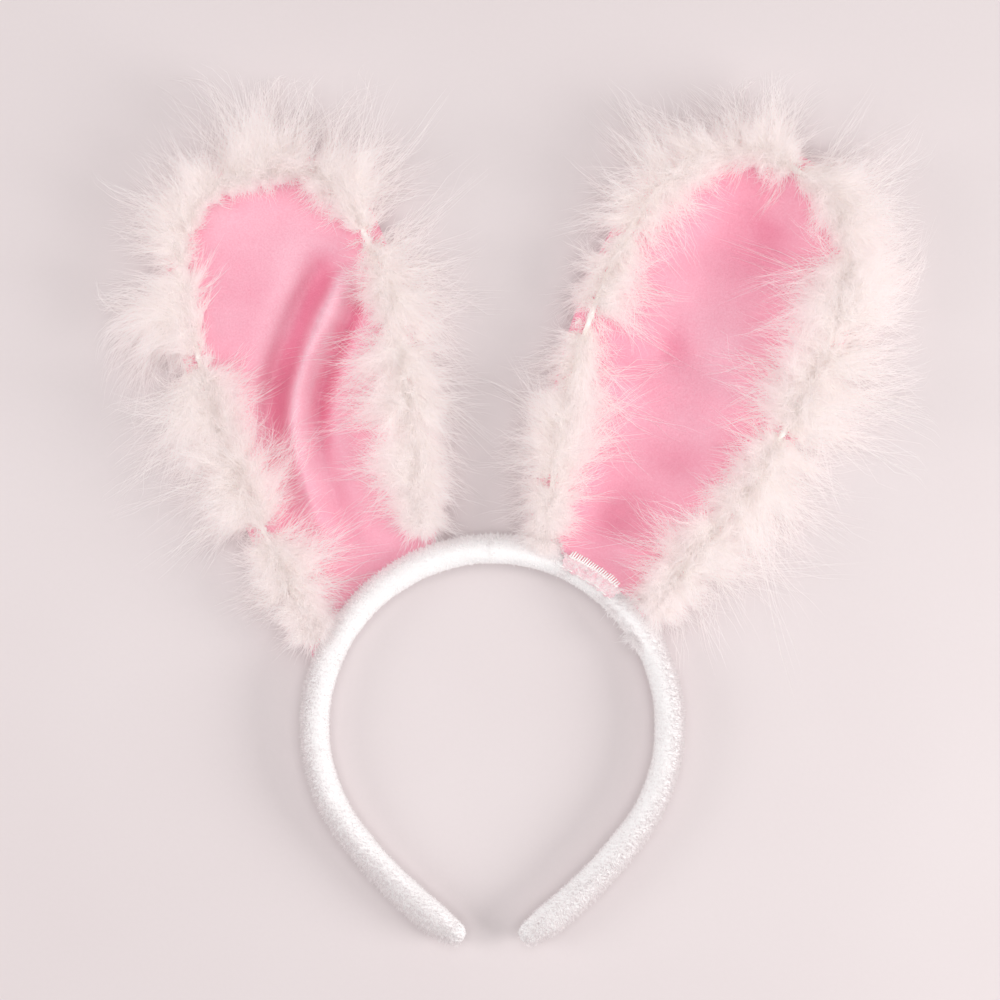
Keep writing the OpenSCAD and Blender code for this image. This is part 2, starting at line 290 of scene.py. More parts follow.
# %% [markdown]
# The satin isn't flat. Sewing and the edge wire throw it into a lengthwise fold on the left ear
# and broad soft dents on the right one. A height in mm is worked out for any place on an ear.
# It is nought along the edge, where the wire holds the cloth. The fold's line is a short list of
# places drawn from its foot to its end.

# %% Satin relief
def smooth(x):
    x = np.clip(x, 0, 1)
    return x * x * (3 - 2 * x)

# Across and along, in mm, of the left ear's raised fold.
FOLD = np.array([(-6.5, 8.0), (-7.1, 19.6), (-8.9, 32.0), (-9.6, 45.9), (-7.5, 59.0), (-4.0, 68.3),
                 (1.5, 77.1), (9.7, 88.5), (19.4, 99.6), (25.0, 105.0)])
FOLD_STEPS = 240
fold_run = np.linspace(0, 1, FOLD_STEPS) * (len(FOLD) - 1)
FOLD_PATH = np.stack([np.interp(fold_run, np.arange(len(FOLD)), FOLD[:, k]) for k in (0, 1)], -1)
# Across, along, half sizes both ways and height of the right ear's dents and swellings.
DENTS = ((4, 121, 13, 11, -2.4), (-6, 77, 8, 7, -2.1), (-18, 63, 8, 7, -1.4), (5, 84, 9, 15, 1.8),
         (8, 45, 10, 7, -1.8), (-4, 16, 9, 11, -2.0), (-14, 98, 8, 10, 1.4))

def relief_mm(name, across, along):
    """Height of the satin above its flat lie, in mm."""
    ear = EARS[name]
    edge = smooth((half_width(ear, along) - np.abs(across) - 6) / 9) * smooth((along - 4) / 16)
    edge = edge * smooth((ear["length"] - along - 7) / 10)
    wave = (0.8 * np.sin(across / 9.1 + along / 14.0 + 0.6) * np.sin(along / 11.5 + 1.3)
            + 0.45 * np.sin(across / 5.3 - along / 9.0) + 0.4 * np.sin(along / 6.1 + across / 13.0))
    if name == "left":
        gap = np.hypot(across[..., None] - FOLD_PATH[:, 0], along[..., None] - FOLD_PATH[:, 1])
        nearest = gap.argmin(-1)
        d = gap.min(-1) * np.where(across < np.interp(along, FOLD_PATH[:, 1], FOLD_PATH[:, 0]), -1, 1)
        t = nearest / (FOLD_STEPS - 1)
        life = smooth(t * 5) * smooth((1 - t) * 6) * (0.42 + 0.58 * smooth((along - 32) / 36))
        ridge = 5.2 * np.where(d < 0, np.exp(-(d / 3.0) ** 2), np.exp(-(d / 3.4) ** 2))
        hollow = -4.8 * np.exp(-((d + 9.0) / 5.4) ** 2)
        dip = -3.6 * np.exp(-((d - 8.0) / 3.6) ** 2)
        far = 1.6 * np.exp(-((d - 14.0) / 4.0) ** 2)
        return edge * (0.5 * wave + life * (ridge + hollow + dip + far))
    trough = -2.6 * np.exp(-((across - 2 + 0.05 * along) / 14) ** 2)
    form = trough + 0.7 * wave
    for x, y, w, h, height in DENTS:
        form = form + height * np.exp(-((across - x) / w) ** 2 - ((along - y) / h) ** 2)
    return edge * form

# %% [markdown]
# The height is asked for very often, so it is worked out once for a square of cloth round each ear,
# every half millimetre, and read from there.

# %% Relief table
ACROSS, ALONG = np.linspace(-50, 50, 201), np.linspace(-30, 160, 381)
PER_MM = 2
RELIEF = {name: relief_mm(name, *np.meshgrid(ACROSS, ALONG)) for name in EARS}

def relief(name, across, along):
    """Height of the satin, in mm, between the four nearest values of the table."""
    table = RELIEF[name]
    x = np.clip((across - ACROSS[0]) * PER_MM, 0, len(ACROSS) - 1.001)
    y = np.clip((along - ALONG[0]) * PER_MM, 0, len(ALONG) - 1.001)
    i, j = y.astype(int), x.astype(int)
    u, v = x - j, y - i
    return ((table[i, j] * (1 - u) + table[i, j + 1] * u) * (1 - v)
            + (table[i + 1, j] * (1 - u) + table[i + 1, j + 1] * u) * v)

print("the left fold stands", round(float(RELIEF["left"].max()), 1), "mm up")

# %% [markdown]
# Painted shade makes the satin deeper in colour where it sinks or turns away from the light, and a
# painted highlight makes it paler on its ridges. A second table holds them, from the relief itself
# and from a few spots of painted shade and highlight. The finish reads it as an attribute of each point.

# %% Painted shade and highlight on the satin
def blurred(table, reach):
    """The table with each value spread over its neighbours, reach steps wide."""
    k = np.exp(-(np.arange(-3 * reach, 3 * reach + 1) / reach) ** 2)
    k /= k.sum()
    grown = np.pad(table, 3 * reach, mode="edge")
    grown = np.apply_along_axis(np.convolve, 0, grown, k, "valid")
    return np.apply_along_axis(np.convolve, 1, grown, k, "valid")

# Spots of painted shade in the satin's colour; a negative value is a painted highlight.
PAINTED_SHADE_AND_HIGHLIGHT_SPOTS = {  # across, along, half sizes both ways, and how deep (or pale, if negative)
    "left": ((-3, 121, 17, 15, -0.42), (-7, 134, 3, 4, 0.35), (-26, 129, 7, 6, 0.5), (12, 62, 9, 14, 0.2)),
    "right": ((4.2, 119, 15, 12, 0.42), (4, 128.5, 7, 4, 0.35), (-5.7, 77, 6.5, 5, 0.4),
              (-17, 64, 10, 6, 0.28), (5, 83.5, 10, 16, -0.32), (8.5, 45, 11, 6, 0.3),
              (-4, 17, 9, 13, 0.42)),
}
PAINTED_SHADE_AND_HIGHLIGHT = {}
for side_name, ear in EARS.items():
    table = RELIEF[side_name]
    lean = math.radians(ear["lean"])
    down, over = np.gradient(table, 1 / PER_MM)
    turned = over * math.cos(lean) + down * math.sin(lean)  # climbs to the right: it faces left
    sunk = blurred(table, 16) - blurred(table, 3)
    x, y = np.meshgrid(ACROSS, ALONG)
    x, y = x + 1.6 * np.sin(y / 5.1), y + 2.2 * np.sin(x / 6.3 + 1)
    # Painted shade and painted highlight from the listed spots.
    soft = sum(k * np.exp(-((x - u) / w) ** 2 - ((y - v) / h) ** 2)
               for u, v, w, h, k in PAINTED_SHADE_AND_HIGHLIGHT_SPOTS[side_name])
    # Painted shade in the hollows and on slopes turned away from the light, painted highlight on ridges and
    # slopes turned towards it.
    if side_name == "left":
        strength = 0.35 + 0.65 * smooth((ALONG - 30) / 40)[:, None]
        PAINTED_SHADE_AND_HIGHLIGHT[side_name] = soft + np.clip(strength * (0.24 * sunk + 0.55 * blurred(turned, 3)), -0.6, 1)
    else:
        # Painted shade in the hollows, with the listed spots.
        PAINTED_SHADE_AND_HIGHLIGHT[side_name] = soft + 0.12 * sunk
    print(side_name, "depth", np.round(PAINTED_SHADE_AND_HIGHLIGHT[side_name].min(), 2), np.round(PAINTED_SHADE_AND_HIGHLIGHT[side_name].max(), 2))

# Painted shade at a place on an ear; a negative value is a painted highlight.
def painted_shade_and_highlight_at(name, across, along):
    i = np.clip(np.round((along - ALONG[0]) * PER_MM), 0, len(ALONG) - 1).astype(int)
    j = np.clip(np.round((across - ACROSS[0]) * PER_MM), 0, len(ACROSS) - 1).astype(int)
    return PAINTED_SHADE_AND_HIGHLIGHT[name][i, j]

# %% [markdown]
# Most soft pieces here are a grid of cloth that is moved into place point by point, much as a
# pattern piece is laid over a form. The helper adds a grid primitive, moves its points by a
# function of two numbers from 0 to 1, merges what meets, and turns its faces outwards.

# %% Shaped grid helper
def shaped_grid(name, columns, rows, shape, material, thick=0.0, closed=False):
    bpy.ops.object.select_all(action="DESELECT")
    bpy.ops.mesh.primitive_grid_add(x_subdivisions=columns, y_subdivisions=rows, size=1, location=(0, 0, 0))
    piece = bpy.context.object
    piece.name = name
    mesh = piece.data
    co = np.empty(len(mesh.vertices) * 3)
    mesh.vertices.foreach_get("co", co)
    co = co.reshape(-1, 3)
    points = shape(np.clip(co[:, 0] + 0.5, 0, 1), np.clip(co[:, 1] + 0.5, 0, 1))
    mesh.vertices.foreach_set("co", (points * MM).ravel())
    mesh.update()
    bpy.ops.object.mode_set(mode="EDIT")
    bpy.ops.mesh.select_all(action="SELECT")
    bpy.ops.mesh.remove_doubles(threshold=0.00002)
    if closed:
        bpy.ops.mesh.normals_make_consistent(inside=False)
    bpy.ops.object.mode_set(mode="OBJECT")
    mesh.materials.clear()
    mesh.materials.append(material)
    if thick:
        wall = piece.modifiers.new("wall", "SOLIDIFY")
        wall.thickness = thick * MM
        wall.offset = 0
        bpy.ops.object.modifier_apply(modifier="wall")
    bpy.ops.object.shade_smooth()
    return piece

# %% [markdown]
# Very many fine strands are one mesh of ribbons: real hair curves would be heavier, and would be
# lost when the model is exported. Each strand is a ribbon of a few quads that narrows to a point,
# and two attributes say how far along it a point lies and which tone it has.

# %% Ribbon helper
def ribbons(name, spine, width, roll, tone, material):
    """Each strand has a row of points in spine and one width, roll and tone. Lengths are in mm."""
    count, stations, _ = spine.shape
    ahead = unit(np.gradient(spine, axis=1))
    aside = unit(np.cross(ahead, roll[:, None, :]))
    t = np.linspace(0, 1, stations)
    half = 0.5 * width[:, None] * (1 - 0.75 * t ** 1.5)[None, :]
    left = spine - aside * half[..., None]
    right = spine + aside * half[..., None]
    body = stations - 1
    verts = np.concatenate([np.stack([left[:, :body], right[:, :body]], 2).reshape(count, -1, 3),
                            spine[:, -1:, :]], axis=1)
    per = verts.shape[1]
    base = (np.arange(count) * per)[:, None]
    quads = np.stack([base + np.array([2 * k, 2 * k + 1, 2 * k + 3, 2 * k + 2]) for k in range(body - 1)], 1)
    quads = quads.reshape(-1, 4)
    tips = base + np.array([2 * body - 2, 2 * body - 1, 2 * body])
    loops = np.concatenate([quads.ravel(), tips.ravel()])
    starts = np.concatenate([np.arange(len(quads)) * 4, len(quads) * 4 + np.arange(len(tips)) * 3])
    mesh = bpy.data.meshes.new(name)
    mesh.vertices.add(count * per)
    mesh.vertices.foreach_set("co", (verts.reshape(-1, 3) * MM).ravel().astype(np.float32))
    mesh.loops.add(len(loops))
    mesh.loops.foreach_set("vertex_index", loops.astype(np.int32))
    mesh.polygons.add(len(starts))
    mesh.polygons.foreach_set("loop_start", starts.astype(np.int32))
    mesh.update(calc_edges=True)
    mesh.validate()
    along = np.concatenate([np.repeat(t[:body], 2), [1.0]])
    for key, value in (("along", np.tile(along, count)), ("tone", np.repeat(tone, per))):
        mesh.attributes.new(key, "FLOAT", "POINT").data.foreach_set("value", value.astype(np.float32))
    mesh.shade_smooth()
    mesh.materials.append(material)
    piece = bpy.data.objects.new(name, mesh)
    bpy.context.scene.collection.objects.link(piece)
    return piece

# %% [markdown]
# Round cords and threads are tubes swept along a list of points.

# %% Tube helper
def tube(path, radius, sides=6):
    """Points and quads of a closed round tube along path, in mm."""
    path = np.asarray(path, float)
    n = len(path)
    ahead = unit(np.gradient(path, axis=0))
    ref = np.array([0.0, 0.0, 1.0]) if abs(ahead[0, 2]) < 0.9 else np.array([1.0, 0.0, 0.0])
    w = np.linspace(0, 2 * np.pi, sides, endpoint=False)
    rings = []
    for i in range(n):
        a = unit(np.cross(ref, ahead[i]))
        ref = np.cross(ahead[i], a)
        rings.append(path[i] + radius * (np.cos(w)[:, None] * a + np.sin(w)[:, None] * ref))
    verts = np.concatenate(rings + [path[:1], path[-1:]])
    faces = []
    for i in range(n - 1):
        for k in range(sides):
            a, b = i * sides + k, i * sides + (k + 1) % sides
            faces.append((a, b, b + sides, a + sides))
    for k in range(sides):
        faces.append(((k + 1) % sides, k, n * sides))
        faces.append(((n - 1) * sides + k, (n - 1) * sides + (k + 1) % sides, n * sides + 1))
    return verts, faces

def tubes(name, paths, radius, material, sides=6):
    verts, faces, base = [], [], 0
    for path in paths:
        v, f = tube(path, radius, sides)
        verts.append(v)
        faces += [tuple(base + i for i in face) for face in f]
        base += len(v)
    mesh = bpy.data.meshes.new(name)
    mesh.from_pydata((np.concatenate(verts) * MM).tolist(), [], faces)
    mesh.materials.append(material)
    piece = bpy.data.objects.new(name, mesh)
    bpy.context.scene.collection.objects.link(piece)
    mesh.shade_smooth()
    return piece

# %% [markdown]
# ## Finishes
# Satin has a soft gloss over a very fine thread grain. Its colour is multiplied by a deeper tint, a painted
# shade, where the depth attribute is above nought, and by a paler one, a painted highlight, where it is
# below.

# %% Satin finish
PINK_SATIN = finish("pink_satin_cloth", (0.86, 0.312, 0.425), (0.94, 0.462, 0.575), 0.42, fine=1700, broad=48,
                    bump=0.55, depth=0.0003, mix=0.42, Sheen_Weight=0.3, Sheen_Roughness=0.4,
                    Specular_IOR_Level=0.45)
nodes, links = PINK_SATIN.node_tree.nodes, PINK_SATIN.node_tree.links
# The depth attribute holds the painted shade and highlight of the satin.
depth = nodes.new("ShaderNodeAttribute")
depth.attribute_name = "depth"
dye_and_painted_shade = nodes["Principled BSDF"].inputs["Base Color"].links[0].from_socket
for low, high, tint in ((0.0, 0.8, (0.91, 0.58, 0.69)), (0.0, -0.8, (1.0, 1.30, 1.20))):
    amount = nodes.new("ShaderNodeMapRange")
    amount.inputs["From Min"].default_value = low
    amount.inputs["From Max"].default_value = high
    links.new(depth.outputs["Fac"], amount.inputs["Value"])
    shade_and_highlight_tint = nodes.new("ShaderNodeMix")
    shade_and_highlight_tint.data_type = "RGBA"
    shade_and_highlight_tint.blend_type = "MULTIPLY"
    shade_and_highlight_tint.inputs["B"].default_value = (*tint, 1)
    links.new(amount.outputs["Result"], shade_and_highlight_tint.inputs["Factor"])
    links.new(dye_and_painted_shade, shade_and_highlight_tint.inputs["A"])
    dye_and_painted_shade = shade_and_highlight_tint.outputs["Result"]
links.new(dye_and_painted_shade, nodes["Principled BSDF"].inputs["Base Color"])
print("satin nodes:", len(nodes))

# %% [markdown]
# The other plain finishes follow: a matt, very pale plush, thread and cotton cord with a faint glow
# for the light that passes through their fibres, and foam, felt, plastic and wire inside.

# %% Plain finishes
PLUSH = finish("white_plush_backing", (0.955, 0.945, 0.945), (0.985, 0.98, 0.98), 0.9, fine=1800, broad=200,
               bump=0.5, depth=0.0004, Sheen_Weight=0.3)
THREAD = finish("white_thread", (0.93, 0.925, 0.90), (0.98, 0.975, 0.965), 0.7, fine=4000, broad=400,
                bump=0.5, depth=0.0001, Emission_Color=(1.0, 0.97, 0.95, 1), Emission_Strength=0.10)
CORD = finish("cotton_cord", (0.93, 0.92, 0.87), (0.98, 0.97, 0.935), 0.8, fine=3500, broad=300, bump=0.5,
              depth=0.0001, Emission_Color=(1.0, 0.97, 0.92, 1), Emission_Strength=0.12)
FOAM = finish("foam_padding", (0.80, 0.78, 0.70), (0.87, 0.85, 0.79), 0.95, fine=1600, broad=120, bump=0.8,
              depth=0.0005)
FELT = finish("felted_stiffener", (0.78, 0.78, 0.78), (0.86, 0.86, 0.86), 0.9, fine=2600, broad=90, bump=0.5,
              depth=0.0002)
PLASTIC = finish("springy_plastic", (0.70, 0.70, 0.67), (0.76, 0.76, 0.73), 0.38, fine=900, broad=40,
                 bump=0.05)
WIRE = finish("drawn_wire", (0.42, 0.42, 0.42), (0.55, 0.55, 0.55), 0.35, fine=3000, broad=100, bump=0.1,
              depth=0.00005, Metallic=1.0)
print("finishes:", [m.name for m in bpy.data.materials if m.use_nodes])

# %% [markdown]
# Down and pile read the strand attributes: a warm tone at the root, near white along the strand,
# and a slightly different tone from strand to strand. Part of the light goes through a fibre,
# and it goes on from fibre to fibre far longer than a render follows it, so down and pile also have
# a faint glow, painted light that stands for that last light. Together they keep a thick puff bright right
# into its middle.

# %% Strand finishes
def strand_finish(name, root, body, tip, other, roughness, see_through, glow):
    material = bpy.data.materials.new(name)
    material.use_nodes = True
    nodes, links = material.node_tree.nodes, material.node_tree.links
    shader = nodes["Principled BSDF"]
    shader.inputs["Roughness"].default_value = roughness
    shader.inputs["Specular IOR Level"].default_value = 0.3
    shader.inputs["Sheen Weight"].default_value = 0.25
    shader.inputs["Emission Color"].default_value = (1.0, 0.925, 0.925, 1)
    shader.inputs["Emission Strength"].default_value = glow
    along = nodes.new("ShaderNodeAttribute")
    along.attribute_name = "along"
    tone = nodes.new("ShaderNodeAttribute")
    tone.attribute_name = "tone"
    ramp = nodes.new("ShaderNodeValToRGB")
    ramp.color_ramp.elements[0].color = (*root, 1)
    ramp.color_ramp.elements[1].color = (*tip, 1)
    middle = ramp.color_ramp.elements.new(0.35)
    middle.color = (*body, 1)
    links.new(along.outputs["Fac"], ramp.inputs["Fac"])
    shade = nodes.new("ShaderNodeMix")
    shade.data_type = "RGBA"
    shade.blend_type = "MULTIPLY"
    shade.inputs["B"].default_value = (*other, 1)
    links.new(tone.outputs["Fac"], shade.inputs["Factor"])
    links.new(ramp.outputs["Color"], shade.inputs["A"])
    links.new(shade.outputs["Result"], shader.inputs["Base Color"])
    through = nodes.new("ShaderNodeBsdfTranslucent")
    links.new(shade.outputs["Result"], through.inputs["Color"])
    both = nodes.new("ShaderNodeMixShader")
    both.inputs["Fac"].default_value = see_through
    links.new(shader.outputs["BSDF"], both.inputs[1])
    links.new(through.outputs["BSDF"], both.inputs[2])
    links.new(both.outputs["Shader"], nodes["Material Output"].inputs["Surface"])
    return material

DOWN = strand_finish("marabou_down", (0.99, 0.978, 0.95), (1.0, 0.978, 0.972), (1.0, 0.968, 0.971),
                     (0.985, 0.95, 0.945), 0.6, 0.6, 0.11)
# The pile glows faintly too: painted light that lifts it where it lies in shade.
PILE = strand_finish("plush_pile", (0.93, 0.91, 0.912), (0.98, 0.965, 0.965), (0.995, 0.985, 0.985),
                     (0.80, 0.765, 0.77), 0.35, 0.45, 0.09)

# %% [markdown]
# ## The band
# The cover is a soft tube round foam. Its outer half has a short, slightly ribbed pile, and its
# head side is smoother. It is made in two halves that meet at the crown.
# The lower arms twist a little, which shows more of their width.
# One function gives any place on the cover, and the foam, pile, flaps and stitches all use it.

# %% Section of the band
rng = np.random.default_rng(7)
SIDES = (("left", -1), ("right", 1))
CROWN_LAP, TIP_REACH = 0.8, 4.3  # how far the cover runs past the crown, and past the end of its arm
FLAP_AT = {"right": (33.0, 1), "left": (43.0, -1)}  # degrees from the crown, and over (1) or under (-1)

ARM_TWIST = 34  # degrees that the lower arms turn

def twist_at(s):
    return np.radians(ARM_TWIST) * smooth((s - 95) / 75)

def section(s, w, side, grow=0.0):
    """A point on the cover: s mm from the crown, w round the section from 0 to 1, in mm."""
    s, w = np.broadcast_arrays(np.asarray(s, float), np.asarray(w, float))
    over = np.maximum(s - HALF_BAND, 0)
    point, angle = band_line(np.minimum(s, HALF_BAND))
    rounded = np.sqrt(np.maximum(1 - (over / TIP_REACH) ** 2, 0))
    shrink = rounded * (1 - 0.24 * smooth((s - HALF_BAND + 8) / 10))
    a = 2 * np.pi * w
    lump = 1 + 0.018 * np.sin(s / 7.3 + 2.1 * side) + 0.012 * np.sin(s / 3.1 + 3 * a)
    lump = lump + 0.075 * np.sin(9 * a + 1.1 * side) * smooth((s - HALF_BAND + 4) / 5)
    half_t, half_w = (BAND_T / 2 - 0.10) * lump, (BAND_W / 2 - 0.35) * lump
    c, d = np.cos(a), np.sin(a)
    r = (np.sign(c) * np.abs(c) ** 0.85 * half_t + c * grow) * shrink
    z = (np.sign(d) * np.abs(d) ** 0.92 * half_w + d * grow) * shrink
    turn = twist_at(s)
    r, z = r * np.cos(turn) - z * np.sin(turn), r * np.sin(turn) + z * np.cos(turn)
    out = np.stack([np.sin(np.radians(angle)), np.cos(np.radians(angle))], -1)
    along = np.stack([out[..., 1], -out[..., 0]], -1)
    p = point + out * r[..., None] + along * over[..., None]
    return np.stack([side * p[..., 0], p[..., 1], BAND_Z + z], -1)

print("tip of the right arm", np.round(section(HALF_BAND + TIP_REACH, 0.0, 1), 1))

# %% [markdown]
# The arms spring open, so whatever covers them has to bend where they flex. No bend is made here:
# the helper only applies each piece's placement to its points.

def bend_with_arm(piece):
    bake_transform(piece)

# %% [markdown]
# Cover and foam are the same tube, the foam 1.5 mm inside the cover. The rows of the cover's grid
# are closer together in its round tip, where it is gathered.

# %% Cover and foam
for name, side in SIDES:
    def cover_shape(u, v, side=side):
        rows = np.where(u < 0.96, u / 0.96 * 0.975, 0.975 + (u - 0.96) / 0.04 * 0.025)
        return section(-CROWN_LAP + (HALF_BAND + TIP_REACH + CROWN_LAP) * rows, v, side)
    cover = shaped_grid(name + "_band_cover", 190, 36, cover_shape, PLUSH, closed=True)
    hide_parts("crown_cover", name + "_arm_cover", name + "_tip_fold")
    bend_with_arm(cover)

    def foam_shape(u, v, side=side):
        return section(-0.5 + (HALF_BAND - 1.5) * u, v, side, grow=-1.5)
    foam = shaped_grid(name + "_foam", 150, 20, foam_shape, FOAM, closed=True)
    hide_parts("crown_padding", name + "_arm_padding")
    bend_with_arm(foam)
    print(name, "cover", len(cover.data.polygons), "faces")

# %% [markdown]
# The pile is tufts of short fibres. They stand in fine ribs across the outer half, and are
# shorter and laid flat on the head side, which looks smooth. Under a base flap the pile is
# flattened, so hardly any is left there.

# %% Places for tufts
PILE_ROW, RIB = 0.62, 1.86  # from row to row of tufts, and from rib to rib, in mm

def tuft_places(name):
    """Distance from the crown and turn round the cover, from 0 to 1, of each tuft."""
    spots = []
    for i, row in enumerate(np.arange(-0.6, HALF_BAND + 3.6, PILE_ROW)):
        n = 46 if row < HALF_BAND else 30
        w = (np.arange(n) + 0.5 * (i % 2) + rng.uniform(-0.3, 0.3, n)) / n
        spots.append(np.stack([row + rng.uniform(-0.22, 0.22, n), w % 1], -1))
    spots = np.concatenate(spots)
    s, w = spots[:, 0], spots[:, 1]
    middle, face = FLAP_AT[name]
    turn = ((face * w * 2 * np.pi + np.pi) % (2 * np.pi)) - np.pi
    covered = (np.abs(np.degrees(s / ARCH_R) - middle) < 10.0) & (turn > 0.75) & (turn < 1.72)
    keep = ~covered | (rng.uniform(0, 1, len(s)) < 0.12)
    return s[keep], w[keep]

# %% [markdown]
# Each tuft has four fibres that lean their own way. Between the ribs the fibres are a little darker,
# painted shade that makes the ribs show, and a random speckle darkens others. Both grow along
# the lower arms, painted shade that leaves the crown brightest.

# %% Band pile
TUFT = 4
for name, side in SIDES:
    s, w = tuft_places(name)
    outer = smooth((np.cos(2 * np.pi * w) + 0.45) / 0.9)
    root = section(s, w, side, grow=-0.1)
    lift = unit(section(s, w, side, grow=1.0) - root)
    ahead = unit(section(np.minimum(s + 0.5, HALF_BAND + 3.5), w, side)
                 - section(np.minimum(s, HALF_BAND + 3.0), w, side))
    k = np.repeat(np.arange(len(s)), TUFT)
    count = len(k)
    rib = 0.75 + 0.35 * np.cos(2 * np.pi * s[k] / RIB)
    length = (0.55 + 0.95 * outer[k] * rib) * rng.uniform(0.6, 1.25, count)
    jitter = rng.normal(0, 1, (count, 3))
    upright, laid = (0.35 + 0.65 * outer[k])[:, None], (1 - 0.6 * outer[k])[:, None]
    way = unit(lift[k] * upright + 0.55 * ahead[k] * laid + 0.33 * jitter)
    t = np.linspace(0, 1, 3)
    start = root[k] + 0.18 * jitter[:, ::-1]
    spine = start[:, None, :] + (length[:, None] * t)[..., None] * way[:, None, :]
    spine[..., 2] = np.maximum(spine[..., 2], 0.15)
    width, roll = rng.uniform(0.16, 0.3, count), rng.normal(0, 1, (count, 3))
    # Painted shade: fibres darken between the ribs and more along the lower arms, so the crown stays
    # brightest.
    speckle_and_painted_shade = 0.2 + 0.8 * outer[k] * (0.25 + 0.75 * smooth((s[k] - 30) / 50))
    between = 0.6 * smooth((s[k] - 38) / 40) * (1.35 - rib)
    tone = np.clip(rng.uniform(0, 1, count) ** 0.8 * speckle_and_painted_shade + between, 0, 1)
    pile = ribbons(name + "_band_pile", spine, width, roll, tone, PILE)
    bend_with_arm(pile)
    print(name, "pile", len(pile.data.polygons), "faces")

# %% [markdown]
# ## The ears
# The satins and the felt between them are grids that follow the outline, so their edge is clean.
# The rows are evenly spaced up to the widest place. Above it they follow the round tip by angle,
# which packs them closer together at the very end.

# %% Rows of a panel
LOW_ROWS = 0.55  # share of the rows that lies below the widest place

def tip_angle(v):
    return np.clip((v - LOW_ROWS) / (1 - LOW_ROWS), 0, 1) * np.pi / 2

def ear_rows(ear, v, low):
    """How far along the ear the row v lies, where the lowest row lies at low."""
    widest, tip = WIDEST * ear["length"], (1 - WIDEST) * ear["length"]
    rounded = widest + tip * np.sin(tip_angle(v)) ** (2 / ear["square"])
    return np.where(v < LOW_ROWS, low + (widest - low) * v / LOW_ROWS, rounded)

def ear_half(ear, v, along):
    """Half the width of the row v."""
    rounded = ear["half"] * np.maximum(np.cos(tip_angle(v)), 0) ** (2 / ear["square"])
    return np.where(v < LOW_ROWS, half_width(ear, along), rounded)

def base_line(ear, across, r):
    """How far along the ear its base lies, so that it ends r mm from the middle of the arch."""
    a = math.radians(ear["lean"])
    start = polar(FOLD_R - BASE_BACK, ear["at"])
    x, y = start[0] + across * math.cos(a), start[1] - across * math.sin(a)
    b = x * math.sin(a) + y * math.cos(a)
    return -b + np.sqrt(np.maximum(b * b - (x * x + y * y - r * r), 0))

# %% [markdown]
# A panel is shaped row by row. Its base is gathered narrower and follows the band, so how far each
# column reaches down depends on how wide it is there, and a few rounds settle the two. Then the
# folds are added to its level.

# %% Shape of a panel
BACK_Z = 5.45  # level of the back satin, the lowest panel

def panel(name, level_z, ends_at, inset=0.0, under=None, narrow=5.0):
    """A panel's shape: its level, where its base ends, how far in its edge lies, how its base is led
    to the band, and how much narrower each side is gathered there. All in mm."""
    ear = EARS[name]
    def shape(u, v):
        along = ear_rows(ear, v, 0.0)
        for _ in range(4):
            half = np.maximum(ear_half(ear, v, along) - inset * smooth((1 - v) * 40), 0)
            half = half - narrow * smooth((13 - along) / 14)
            across = (2 * u - 1) * half
            if name == "right" and narrow > 2:  # front and felt taper more at the left corner
                across = np.where(across < 0, across * (1 - 0.30 * smooth((15 - along) / 16)), across)
            along = ear_rows(ear, v, base_line(ear, across, ends_at))
        along = along - inset * smooth(v * 3 - 1.9)
        p = place(ear, across, along)
        z = np.maximum(level_z + relief(name, across, along), 0.5 + 0.9 * (level_z - BACK_Z))
        if under is not None:
            z = under(p, z)
        return np.concatenate([p, z[:, None]], 1)
    return shape

def climbs(radii, heights):
    """Leads the base of a panel to given heights at given distances from the middle of the arch."""
    def under(p, z):
        r = np.linalg.norm(p, axis=1)
        near = smooth((radii[-1] + 5 - r) / 7)
        return z * (1 - near) + np.interp(r, radii, heights) * near
    return under

# %% [markdown]
# Satin is sewn to the band and to the ear, so it bends over a few millimetres at the line on which
# the ear tilts. No bend is made here: the helper only applies each piece's placement to its points.

# %% Placing the ear pieces
def bend_with_ear(piece):
    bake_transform(piece)

# %% [markdown]
# The right ear's front satin climbs to the shoulder of the band, where its seam shows. The other
# three run into the band's outer side, and their ends are hidden in its cover.
# The front ones carry the painted shade and highlight of their colour at each of their points.

# %% Satins
BASES = {  # where each panel ends, and the heights it takes on the way
    ("left", "front"): (60.5, climbs([60.5, 63.0, 66.5], [5.6, 5.7, 6.8])),
    ("left", "back"): (60.8, climbs([60.5, 63.0, 66.5], [4.3, 4.3, 4.9])),
    ("right", "front"): (61.5, climbs([61.5, 63.2, 66.0], [11.7, 10.6, 9.1])),
    ("right", "back"): (61.5, climbs([61.0, 63.0, 66.5], [6.2, 6.0, 5.7])),
}
for name, ear in EARS.items():
    for face, level_z, columns, rows in (("front", 7.5, 110, 170), ("back", BACK_Z, 80, 120)):
        ends_at, under = BASES[name, face]
        narrow = 5.0 if face == "front" else 0.8  # the back covers the wire's ends
        shape = panel(name, level_z, ends_at, 0.0, under, narrow)
        piece = shaped_grid(f"{name}_satin_{face}", columns, rows, shape, PINK_SATIN, thick=0.4)
        if face == "front":
            # The front satins carry their painted shade and highlight as a point attribute.
            co = np.empty(len(piece.data.vertices) * 3)
            piece.data.vertices.foreach_get("co", co)
            there = painted_shade_and_highlight_at(name, *own(ear, co.reshape(-1, 3) / MM)).astype(np.float32)
            piece.data.attributes.new("depth", "FLOAT", "POINT").data.foreach_set("value", there)
        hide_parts(f"{name}_{face}_satin")
        bend_with_ear(piece)
        size = (2 * ear["half"] * MM, (ear["length"] + 18) * MM)

# %% [markdown]
# Along the ear's edge the two satins are seamed and turned, which leaves a soft round rim. It is
# half a tube swept along the edge route.

